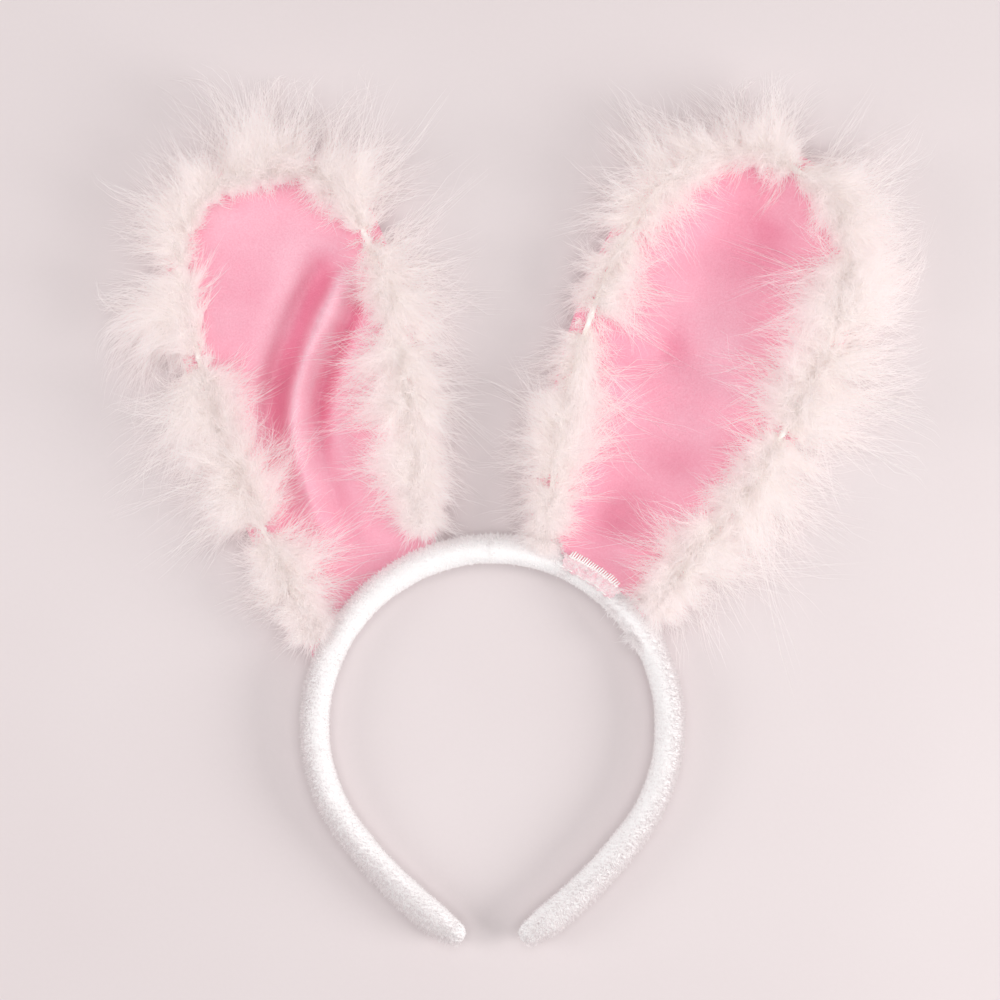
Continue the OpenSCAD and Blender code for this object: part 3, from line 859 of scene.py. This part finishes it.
def seam_along(path):
    steps = np.arange(len(path))
    across, ahead = np.gradient(path[:, 0]), np.gradient(path[:, 1])
    size = np.hypot(across, ahead)
    def shape(u, v):
        i = u * (len(path) - 1)
        x, y = np.interp(i, steps, path[:, 0]), np.interp(i, steps, path[:, 1])
        out_x, out_y = np.interp(i, steps, -ahead / size), np.interp(i, steps, across / size)
        a = np.pi * (v - 0.5)
        bulge = 0.55 * np.cos(a) - 0.1
        return np.stack([x + out_x * bulge, y + out_y * bulge, EAR_Z + 1.15 * np.sin(a)], -1)
    return shape

# %% [markdown]
# Between the satins lies a stiff felt, a little smaller than they are, which keeps the ear flat.
# The seam edge closes round it, and is placed as the satins are.

# %% Stiffener and seam edge
for name, ear in EARS.items():
    stiff = shaped_grid(name + "_felt_sheet", 70, 110, panel(name, 6.45, 67.5, 4.3), FELT, thick=0.9)
    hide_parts(name + "_stiffener")
    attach(stiff, name + "_ear")
    size = (2 * (ear["half"] - 4) * MM, (ear["length"] + 8) * MM)
    print(stiff.name, "faces", len(stiff.data.polygons))
    seam_shape = seam_along(edge_route(ear, 0.15, -3.0)[0])
    seam = shaped_grid(name + "_seam_edge", 420, 8, seam_shape, PINK_SATIN, thick=0.3)
    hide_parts(name + "_back_satin")
    bend_with_ear(seam)

# %% [markdown]
# The wire in each ear's edge and the springy strips in the band are hard parts, so the solids of
# the model stay and only get their finish.

# %% Hard parts
def refinish(node, material):
    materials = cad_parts[node].data.materials
    materials.clear()
    materials.append(material)

for node in ("left_edge_wire", "right_edge_wire"):
    refinish(node, WIRE)
for node in ("crown_strip", "left_arm_strip", "right_arm_strip"):
    refinish(node, PLASTIC)

# %% [markdown]
# ## The base flaps
# Each ear is sewn to a flap that laps over the band: over its top under the right ear, and under it
# beneath the left one. What shows is the raw seam allowance, pale on its wrong side and full of lint.
# Two helpers put a point there: degrees round the arch, and then either a turn round the cover
# or a radius and a height.

# %% Places on the cover
def on_cover(name, degrees, turn, lift):
    """A point lift mm off the cover, turn radians up from its outer side."""
    side, face = dict(SIDES)[name], FLAP_AT[name][1]
    s = ARCH_R * np.radians(degrees)
    p = section(s, face * turn / (2 * np.pi), side)
    q = section(s, face * turn / (2 * np.pi), side, grow=1.0)
    return p + unit(q - p) * np.asarray(lift)[..., None]

def on_shoulder(name, degrees, r, height):
    """A point r mm from the middle of the arch and height mm off the middle of the band."""
    side, face = dict(SIDES)[name], FLAP_AT[name][1]
    degrees, r, height = np.broadcast_arrays(degrees, r, np.asarray(height, float))
    p = polar(1.0, degrees) * r[..., None]
    return np.stack([side * p[..., 0], p[..., 1], BAND_Z + face * height], -1)

print("shoulder above the right flap", np.round(on_shoulder("right", FLAP_AT["right"][0], 61.7, 5.3), 1))

# %% [markdown]
# A flap is a thin patch of satin, wrong side out, that follows the cover with a few ripples.

# %% Base flaps
RAW_SATIN = finish("raw_satin_edge", (0.91, 0.50, 0.58), (0.96, 0.86, 0.87), 0.75, fine=1900, broad=420,
                   bump=0.9, depth=0.0005, mix=0.6, Sheen_Weight=0.3)
for name in ("right", "left"):
    def flap_shape(u, v, name=name):
        middle = FLAP_AT[name][0]
        degrees = middle + (2 * u - 1) * (10.4 - 1.2 * v * v) + 0.25 * np.sin(v * 19)
        turn = 0.70 + 1.12 * v + 0.05 * np.sin(u * 37) * smooth((v - 0.8) / 0.2)
        ripple = 0.16 * np.sin(u * 23 + 4 * v) * v + 0.12 * np.sin(u * 57 + 2)
        return on_cover(name, degrees, turn, 0.55 + ripple)
    flap = shaped_grid(name + "_flap", 90, 26, flap_shape, RAW_SATIN, thick=0.35)
    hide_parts(name + "_base_flap")
    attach(flap, "band")

# %% [markdown]
# ## Threads
# The whipped edge is a close row of thread bars over the seam, locked by a thread along its upper
# side. Its bars slope from the shoulder of the band down to the satin. Real thread wanders a little,
# so no two bars are quite alike.

# %% Whipped edges
BARS, WHIP_HALF, WHIP_R = 23, 8.7, 61.7  # bars, half the row in degrees, and how far out it starts

def whip_paths(name):
    middle = FLAP_AT[name][0]
    t = np.linspace(0, 1, 7)
    paths = []
    for i in range(BARS):
        d = middle + WHIP_HALF * (2 * (i + 0.5) / BARS - 1)
        lean = 0.5 * (t - 0.5) + rng.uniform(-0.06, 0.06)
        reach = 2.1 + rng.uniform(-0.3, 0.3)
        height = 5.35 - 1.6 * t + 0.6 * np.sin(np.pi * t)
        paths.append(on_shoulder(name, d + lean, WHIP_R + reach * t, height))
    # The locking thread weaves in and out along the bars' upper ends.
    d = np.linspace(middle - WHIP_HALF, middle + WHIP_HALF, 90)
    weave = np.arange(90) * 1.15
    paths.append(on_shoulder(name, d, WHIP_R + 0.32 * np.sin(weave), 5.22 + 0.08 * np.cos(weave)))
    return paths

for name in ("right", "left"):
    whip = tubes(name + "_whipped_edge", whip_paths(name), 0.235, THREAD)
    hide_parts(name + "_overlock_edge")
    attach(whip, "band")
    print(whip.name, "has", BARS, "bars")

# %% [markdown]
# The raw end of each flap is held down by a row of short stitches that bow over its edge.

# %% Flap stitches
STITCHES, STITCH_STEP = 7, 3.1  # stitches in a row, and degrees from one to the next
for name in ("right", "left"):
    paths = []
    for i in range(STITCHES):
        d = FLAP_AT[name][0] + (i - STITCHES // 2) * STITCH_STEP + rng.uniform(-0.4, 0.4)
        turn = np.full(6, 1.70) + rng.uniform(-0.05, 0.05)
        lift = 0.75 + 0.3 * np.sin(np.linspace(0, np.pi, 6))
        paths.append(on_cover(name, d + np.linspace(-0.9, 0.9, 6), turn, lift))
    stitch = tubes(name + "_flap_thread", paths, 0.16, THREAD)
    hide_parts(name + "_flap_stitches")
    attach(stitch, "band")
    print(stitch.name, "has", STITCHES, "stitches")

# %% [markdown]
# ## The trim's cord
# Each trim is a cord of three twisted strands, with down tied into it. Loops of thread hold it to
# the satin at every tie, and each end is knotted, with a few loose tails.

# %% Cord, loops and knots
CORD_Z, CORD_R, LAY = 8.8, 0.45, 5.2  # height of the cord, its strands' offset, and mm to a twist
LOOP_R = 1.22

def cord_strands(trim):
    strands = []
    for k in range(3):
        a = trim["run"] * 2 * np.pi / LAY + k * 2 * np.pi / 3
        flat = trim["path"] + CORD_R * np.cos(a)[:, None] * trim["normal"]
        strands.append(np.column_stack([flat, CORD_Z + CORD_R * np.sin(a)]))
    return strands

def tie_loops(trim):
    """Three turns of thread side by side over the cord at each tie."""
    a = np.linspace(-0.5, np.pi + 0.5, 12)
    swing = np.cos(a)[:, None]
    loops = []
    for tie in trim["ties"][1:-1]:
        i = int(np.searchsorted(trim["run"], tie))
        tangent, normal = trim["tangent"][i], trim["normal"][i]
        for off in (-0.45, 0.0, 0.45):
            c = trim["path"][i] + tangent * (off + rng.uniform(-0.1, 0.1))
            flat = c + LOOP_R * swing * normal + 0.25 * off * swing * tangent
            loops.append(np.column_stack([flat, CORD_Z + LOOP_R * np.sin(a)]))
    return loops

def end_knots(trim):
    """A small round knot at each end of the cord, with three loose tails."""
    u, r = np.linspace(0, 2 * np.pi, 60), np.linspace(0, 1, 10)
    lines = []
    for end, way in ((0, 1), (-1, -1)):
        c = np.append(trim["path"][end], CORD_Z + 0.8)
        t3, n3 = np.append(trim["tangent"][end], 0.0), np.append(trim["normal"][end], 0.0)
        ring = 1.05 + 0.5 * np.cos(3 * u)
        lines.append(c + (ring * np.cos(2 * u))[:, None] * t3 + (ring * np.sin(2 * u))[:, None] * n3
                     + (0.55 * np.sin(3 * u))[:, None] * UP)
        for swing in (-0.9, 0.2, 0.8):
            aside = swing * 3.2 * r ** 1.4 + 0.5 * np.sin(4 * r)
            rise = 0.5 + 0.8 * np.sin(2.5 * r)
            lines.append(c + (-way * 4.6 * r)[:, None] * t3 + aside[:, None] * n3 + rise[:, None] * UP)
    return lines

for name, trim in TRIM.items():
    cord = tubes(name + "_trim_cord", cord_strands(trim), 0.5, CORD)
    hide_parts(name + "_feather_cord")
    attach(cord, name + "_ear")
    ties = tubes(name + "_tie_loops", tie_loops(trim), 0.16, THREAD, sides=5)
    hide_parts(name + "_cord_stitches")
    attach(ties, name + "_ear")
    knot = tubes(name + "_cord_end_knots", end_knots(trim), 0.24, THREAD, sides=5)
    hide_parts(name + "_cord_knots")
    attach(knot, name + "_ear")
    print(name, "cord has", len(trim["ties"]) - 2, "ties between its knots")

# %% [markdown]
# ## The marabou
# Down grows in wisps. Each wisp is a soft curved axis with many fine barbs that leave it at
# different heights, spread, and thin out, so a puff is dense at the cord and airy at its edge.
# Wisps stand all round the cord: outwards over the table, up, and inwards over the satin.
# Near a tie they are short and lean away from it, so the trim stands in puffs. Short fuzz fills
# the middle and hides most of the cord.
# No two puffs of real down are alike, so each has its own values, from the left end of the trim
# to the right: how far it reaches out over the table and in over the satin, how much of it lies
# inwards, how thick it stands, and how hard each tie pulls it in.

# %% Puffs
REACH_OUT = {
    "left": [0.65, 0.95, 1.18, 1.08, 1.1, 1.32, 1.15, 1.1, 0.9, 0.75],
    "right": [0.95, 0.62, 0.66, 1.05, 0.95, 1.1, 1.18, 1.42, 1.46, 1.04],
}
REACH_IN = {
    "left": [1.1, 1.1, 0.85, 0.45, 0.3, 0.32, 0.5, 0.5, 1.1, 1.1],
    "right": [1.0, 1.1, 1.15, 0.9, 0.55, 0.5, 1.15, 1.1, 0.85, 0.9],
}
SHARE_IN = {
    "left": [0.30, 0.30, 0.28, 0.20, 0.16, 0.16, 0.22, 0.24, 0.42, 0.42],
    "right": [0.38, 0.52, 0.50, 0.36, 0.22, 0.22, 0.36, 0.36, 0.36, 0.36],
}
FULLNESS = {
    "left": [0.9, 1.0, 1.0, 0.9, 0.95, 1.0, 0.8, 0.75, 1.0, 1.0],
    "right": [0.85, 0.52, 0.52, 0.72, 0.85, 0.85, 1.0, 1.0, 1.0, 0.85],
}
PINCH = {
    "left": [0.3, 0.85, 0.35, 0.85, 0.6, 0.5, 0.6, 0.9, 0.45, 0.4, 0.3],
    "right": [0.7, 0.4, 0.9, 0.5, 0.05, 0.3, 0.7, 0.45, 0.5, 0.7, 0.4],
}

print("puffs on each ear:", PUFFS)

# %% [markdown]
# Down rests on whatever is under it: the satin with its folds, the band, or the table.
# Wisps are sown evenly along the cord, and then thinned out by how thick each puff stands
# and by how near the next tie is.

# %% Ground and places for wisps
SATIN_TOP, BAND_TOP, TABLE_TOP = 8.0, 13.2, 0.35

def ground_under(name, p):
    across, along = own(EARS[name], p)
    inside = (np.abs(across) < half_width(EARS[name], along)) & (along < EARS[name]["length"])
    r = np.linalg.norm(p[..., :2], axis=-1)
    ground = np.where(inside, SATIN_TOP + relief(name, across, along), TABLE_TOP)
    return np.where(np.abs(r - ARCH_R) < 5.5, np.maximum(ground, BAND_TOP), ground)

def wisp_places(name, rng, count):
    """Where on the cord wisps grow, how near the closest tie is, and how hard that tie pulls."""
    run, ties = TRIM[name]["run"], TRIM[name]["ties"]
    s = np.sort(rng.uniform(0.3, run[-1] - 0.3, count * 2))
    thin = np.array(FULLNESS[name])[np.clip(np.searchsorted(ties, s) - 1, 0, PUFFS - 1)]
    s = s[rng.uniform(0, 1, len(s)) < thin]
    near = np.abs(s[:, None] - ties[None, :]).min(axis=1)
    near = np.where((s < ties[0] + 6) | (s > ties[-1] - 6), 6.0, near)
    pinch = np.array(PINCH[name])[np.abs(s[:, None] - ties[None, :]).argmin(axis=1)]
    keep = rng.uniform(0, 1, len(s)) < 1 - 0.95 * pinch * (1 - smooth((near - 0.3) / 4.5))
    s, near, pinch = s[keep], near[keep], pinch[keep]
    pick = np.sort(rng.permutation(len(s))[:count])
    return s[pick], near[pick], pinch[pick]

# %% [markdown]
# The ends of the cord don't stop bare: loose wisps there cover the corners of the ear where it
# meets the band. Near the band they start higher, so they lie on it.

# %% Wisps at the ends of the cord
END_WISPS = 300

def end_wisps(name, rng, end, step):
    """Root, direction, length, droop and puff of the loose wisps at one end."""
    m = END_WISPS
    trim = TRIM[name]
    t2, n2 = trim["tangent"][end] * step, trim["normal"][end]
    side = rng.normal(0, 1, m)
    out = (-0.75 * rng.uniform(-0.3, 1.3, m))[:, None] * t2 + side[:, None] * n2
    way = unit(np.concatenate([out, np.abs(rng.normal(0.35, 0.35, m))[:, None]], 1))
    beyond = 12.5 if name == "right" and end == 0 else 6.5  # the corner beside the seam that shows
    root = (trim["path"][end] - (rng.uniform(-5, beyond, m))[:, None] * t2
            + rng.normal(0, 1.8, m)[:, None] * n2)
    on_band = smooth((66 - np.linalg.norm(root, axis=1)) / 4)
    lift = 11.5 * on_band + (CORD_Z + 0.5) * (1 - on_band)
    return (np.concatenate([root, lift[:, None]], 1), way, rng.triangular(4, 8, 11.5, m),
            np.full(m, 0.16), np.full(m, 0 if end == 0 else PUFFS - 1))

# %% [markdown]
# Most wisps point outwards, upwards or inwards in the shares that their puff has. Each leans a
# little along the cord, its length depends on which way it points, and some stay short.

# %% Wisps
WISP_FLAT, WISP_UP = 26.5, 17.0  # length in mm of a wisp that lies flat, and of one that stands up
SHARE_OUT = 0.36  # the share of every puff that lies outwards
END_REACH = 7  # within this many mm of the cord's ends wisps lean outwards past them

def wisps(name, rng, count):
    """Root, direction, length, droop and puff of each wisp."""
    trim = TRIM[name]
    path, run, tangent, normal, ties = (trim[key] for key in ("path", "run", "tangent", "normal", "ties"))
    s, near, pinch = wisp_places(name, rng, count)
    count = len(s)
    puff = np.clip(np.searchsorted(ties, s) - 1, 0, PUFFS - 1)
    i = np.clip(np.searchsorted(run, s), 0, len(run) - 1)
    away = np.clip((s - (ties[puff] + ties[puff + 1]) / 2) / ((ties[1] - ties[0]) / 2), -1, 1)
    inwards = np.array(SHARE_IN[name])[puff]
    kind = rng.uniform(0, 1, count)
    theta = np.where(kind < inwards, rng.normal(158, 17, count),
                     np.where(kind < inwards + SHARE_OUT, rng.normal(10, 25, count),
                              rng.uniform(30, 150, count)))
    theta = np.radians(np.clip(theta, -40, 178))
    sweep = rng.normal(0, 0.42, PUFFS)[puff] + 0.3 * np.sin(s / 7.0 + rng.uniform(0, 6))
    lean = rng.normal(0, 0.38, count) + sweep - 0.45 * pinch * away * np.abs(away)
    ends = np.where(s < END_REACH, -1.0, np.where(s > run[-1] - END_REACH, 1.0, 0.0))
    lean = lean + ends * rng.uniform(0, 1.5, count)
    n3 = np.concatenate([normal[i], np.zeros((count, 1))], 1)
    t3 = np.concatenate([tangent[i], np.zeros((count, 1))], 1)
    way = np.cos(theta)[:, None] * n3 + lean[:, None] * t3
    way[:, 2] = np.sin(theta)
    way = unit(way)
    within = np.cos(theta) < 0
    length = WISP_FLAT - (WISP_FLAT - WISP_UP) * np.abs(np.sin(theta))
    reach_in, reach_out = np.array(REACH_IN[name])[puff], np.array(REACH_OUT[name])[puff]
    length = length * np.where(within, 0.82 * reach_in, reach_out)
    length = length * rng.uniform(0.86, 1.14, PUFFS)[puff] * (1 - 0.24 * np.abs(away) ** 3)
    length = length * np.where(rng.uniform(0, 1, count) < 0.3, 0.55, 1.0)
    length = length * rng.triangular(0.5, 0.92, 1.12, count) * (1 - 0.38 * pinch * (1 - smooth(near / 8)))
    length = length * np.where(within & (rng.uniform(0, 1, count) < 0.3), rng.uniform(1.15, 1.5, count), 1.0)
    length = length * np.where(ends != 0, 0.75, 1.0)
    root = np.concatenate([path[i], np.full((count, 1), CORD_Z)], 1)
    root = root + 0.8 * way + rng.normal(0, 0.9, (count, 3)) * np.array([1, 1, 0.6])
    droop = np.where(within, 0.14, 0.30) * rng.uniform(0.3, 1.4, count)
    extra = [end_wisps(name, rng, end, step) for end, step in ((0, 1), (-1, -1))]
    return [np.concatenate([own_part] + [more[k] for more in extra])
            for k, own_part in enumerate((root, way, length, droop, puff))]

# %% [markdown]
# Every wisp carries many barbs. A barb leaves the wisp's axis partway up, spreads from it, waves,
# and ends in a point. The axis bends, as its puff was brushed one way, and droops. Barbs settle
# on the ground under them in loose layers. None hangs inside the arch, and few lie on the seam
# that shows.

# %% Barbs
SEAM_MIDDLE, SEAM_HALF = 31.5, 8.8  # the stretch of the right ear's seam that shows, in degrees

WISPS, BARBS = 3500, 21  # wisps on each cord, and barbs on each wisp
FUZZ_SHARE = 0.20  # wisps that are short fuzz over the cord

def grow_down(name, seed):
    """Spine, width, facing, tone and puff of every barb on one ear."""
    rng = np.random.default_rng(seed)
    root, way, length, droop, puff = wisps(name, rng, WISPS)
    count = len(root)
    fuzz = rng.uniform(0, 1, count) < FUZZ_SHARE
    length = np.where(fuzz, rng.uniform(3.5, 9.0, count), length)
    way[fuzz] = way[fuzz] * np.array([0.8, 0.8, 0.6]) + 0.75 * UP
    way = unit(way)
    curl = rng.normal(0, 0.33, (count, 3))
    bend = rng.normal(0, 0.34, PUFFS)[puff]
    curl = curl + bend[:, None] * np.cross(UP, way)
    b = np.repeat(np.arange(count), BARBS)
    total = len(b)
    t = np.linspace(0, 1, 5)
    begin = rng.uniform(0, 0.55, total) ** 1.2
    reach = np.minimum(begin + rng.triangular(0.3, 0.6, 0.95, total), rng.uniform(0.82, 1.1, total))
    u = begin[:, None] + (reach - begin)[:, None] * t
    far = length[b][:, None] * u
    axis = root[b][:, None, :] + far[..., None] * way[b][:, None, :]
    axis = axis + (length[b][:, None] * u ** 2)[..., None] * curl[b][:, None, :]
    axis[..., 2] -= (length[b] * droop[b])[:, None] * u ** 2
    spread = rng.normal(0, 1, (total, 3))
    spread = unit(spread - (spread * way[b]).sum(1)[:, None] * way[b])
    fan = rng.uniform(0.2, 1, total) * (1.2 + 0.115 * length[b])
    open_out = (0.25 + 1.9 * t * (1 - 0.52 * t))[None, :] * fan[:, None]
    stray = rng.normal(0, 1, (total, 3)) * (0.5 + 1.8 * (rng.uniform(0, 1, total) < 0.12))[:, None]
    wave = rng.normal(0, 0.3, (total, 3)) + rng.normal(0, 0.05, (total, 3)) * length[b][:, None]
    spine = (axis + open_out[..., None] * spread[:, None, :] + (t ** 2)[None, :, None] * stray[:, None, :]
             + np.sin(np.pi * t * 1.7)[None, :, None] * wave[:, None, :])
    layer = (rng.uniform(0, 1, (total, 1)) ** 2 * 4.5 + 0.05) * (0.3 + 0.7 * t)
    spine[..., 2] = np.maximum(spine[..., 2], ground_under(name, spine) + layer)
    facing = UP + 0.5 * way[b] + rng.normal(0, 0.42, (total, 3))
    r = np.linalg.norm(spine[..., :2], axis=-1)
    degrees = np.degrees(np.arctan2(spine[..., 0], spine[..., 1]))
    on_seam = (np.abs(degrees - SEAM_MIDDLE) < SEAM_HALF) & (r > 57) & (r < 66.5)
    on_seam = on_seam.any(axis=1) & (name == "right")
    clear = (r.min(axis=1) > 57.5) & (~on_seam | (rng.uniform(0, 1, total) < 0.08))
    width = rng.uniform(0.10, 0.18, total) * np.where(rng.uniform(0, 1, total) < 0.06, 1.5, 1.0)
    tone = rng.uniform(0, 1, total) ** 1.8
    return spine[clear], width[clear], facing[clear], tone[clear], puff[b][clear]

# %% [markdown]
# The outermost strands curl back gently, so the trim keeps to its room. Each ear's down is five
# meshes of two puffs each. The two at the base are placed as the satins are, and the others
# ride on the ear.

# %% Marabou
# Lowest and highest place along each axis, and how far before it the curling starts, in mm.
ROOM = ((-132.0, 146.3, 10.0), (-91.5, 216.5, 8.0), (-9.0, 31.5, 6.0))
for name, seed in (("left", 21), ("right", 34)):
    spine, width, facing, tone, puff = grow_down(name, seed)
    for axis, (low, high, soft) in enumerate(ROOM):
        for start, way in ((low + soft, -1), (high - soft, 1)):
            beyond = np.maximum((spine[..., axis] - start) * way, 0)
            spine[..., axis] -= way * (beyond - soft * (1 - np.exp(-beyond / soft)))
    for group in range(5):
        pick = (puff // 2) == group
        down = ribbons(f"{name}_marabou_{group + 1}", spine[pick], width[pick], facing[pick],
                       tone[pick], DOWN)
        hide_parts(name + "_feather_puffs")
        if group in (0, 4):
            bend_with_ear(down)
        else:
            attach(down, name + "_ear")
    print(name, "strands", len(spine), "highest", round(float(spine[..., 2].max()), 1), "mm")

# %% [markdown]
# ## Lint
# Short curled fibres cling to the raw end of the right flap and to the plush beside it.

# %% Lint
count = 420
d = FLAP_AT["right"][0] + rng.uniform(-10, 10, count)
turn = rng.uniform(0.9, 2.0, count)
p = on_cover("right", d, turn, np.full(count, 1.0))
t = np.linspace(0, 1, 6)
way = unit(rng.normal(0, 1, (count, 3)) + 0.4 * UP)
bow = rng.normal(0, 1, (count, 3))
size = rng.uniform(0.9, 2.8, count)
straight = (size[:, None] * t)[..., None] * way[:, None, :]
curled = (size[:, None] * np.sin(t * np.pi) * 0.35)[..., None] * bow[:, None, :]
spine = p[:, None, :] + straight + curled
spine[..., 2] = np.maximum(spine[..., 2], p[:, None, 2])
lint = ribbons("right_flap_lint", spine, np.full(count, 0.14), rng.normal(0, 1, (count, 3)),
               rng.uniform(0, 0.4, count), PILE)
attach(lint, "band")
print("lint", count, "fibres")

# %% [markdown]
# Where the right ear is sewn on, the plush is ruffled: a few longer tufts stand out on the head side.
# Each spot has its place, as degrees from the crown and a turn round the cover, how many tufts
# stand there, and how long they are.

# %% Ruffled plush
RUFFLES = ((46.0, 2.45, 34, 2.4), (58.5, 2.5, 60, 3.2), (52.0, 2.3, 26, 2.0), (40.0, 2.3, 24, 1.7),
           (24.0, 2.2, 20, 1.5), (61.5, 2.2, 26, 2.4), (21.0, 1.2, 30, 2.0), (45.0, 1.3, 36, 2.2),
           (48.0, 0.7, 40, 2.6))
RUFFLE_FIBRES = 7
roots, ways, sizes = [], [], []
for degrees, turn, number, size in RUFFLES:
    d = degrees + rng.normal(0, 1.5, number)
    a = turn + rng.normal(0, 0.22, number)
    p = on_cover("right", d, a, np.zeros(number))
    q = on_cover("right", d, a, np.ones(number))
    roots.append(p)
    ways.append(q - p + rng.normal(0, 0.55, (number, 3)))
    sizes.append(size * rng.uniform(0.5, 1.15, number))
root, way, size = np.concatenate(roots), unit(np.concatenate(ways)), np.concatenate(sizes)
k = np.repeat(np.arange(len(root)), RUFFLE_FIBRES)
way = way[k] + rng.normal(0, 0.22, (len(k), 3))
t = np.linspace(0, 1, 4)
spine = root[k][:, None, :] + rng.normal(0, 0.25, (len(k), 1, 3))
spine = spine + (size[k][:, None] * t)[..., None] * way[:, None, :]
spine = spine + (size[k][:, None] * t ** 2)[..., None] * rng.normal(0, 0.18, (len(k), 1, 3))
spine[..., 2] = np.maximum(spine[..., 2], 0.3)
tufts = ribbons("right_ruffled_plush", spine, rng.uniform(0.12, 0.2, len(k)), rng.normal(0, 1, (len(k), 3)),
                rng.uniform(0, 0.7, len(k)), PILE)
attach(tufts, "band")
print("ruffled tufts", len(k), "fibres")
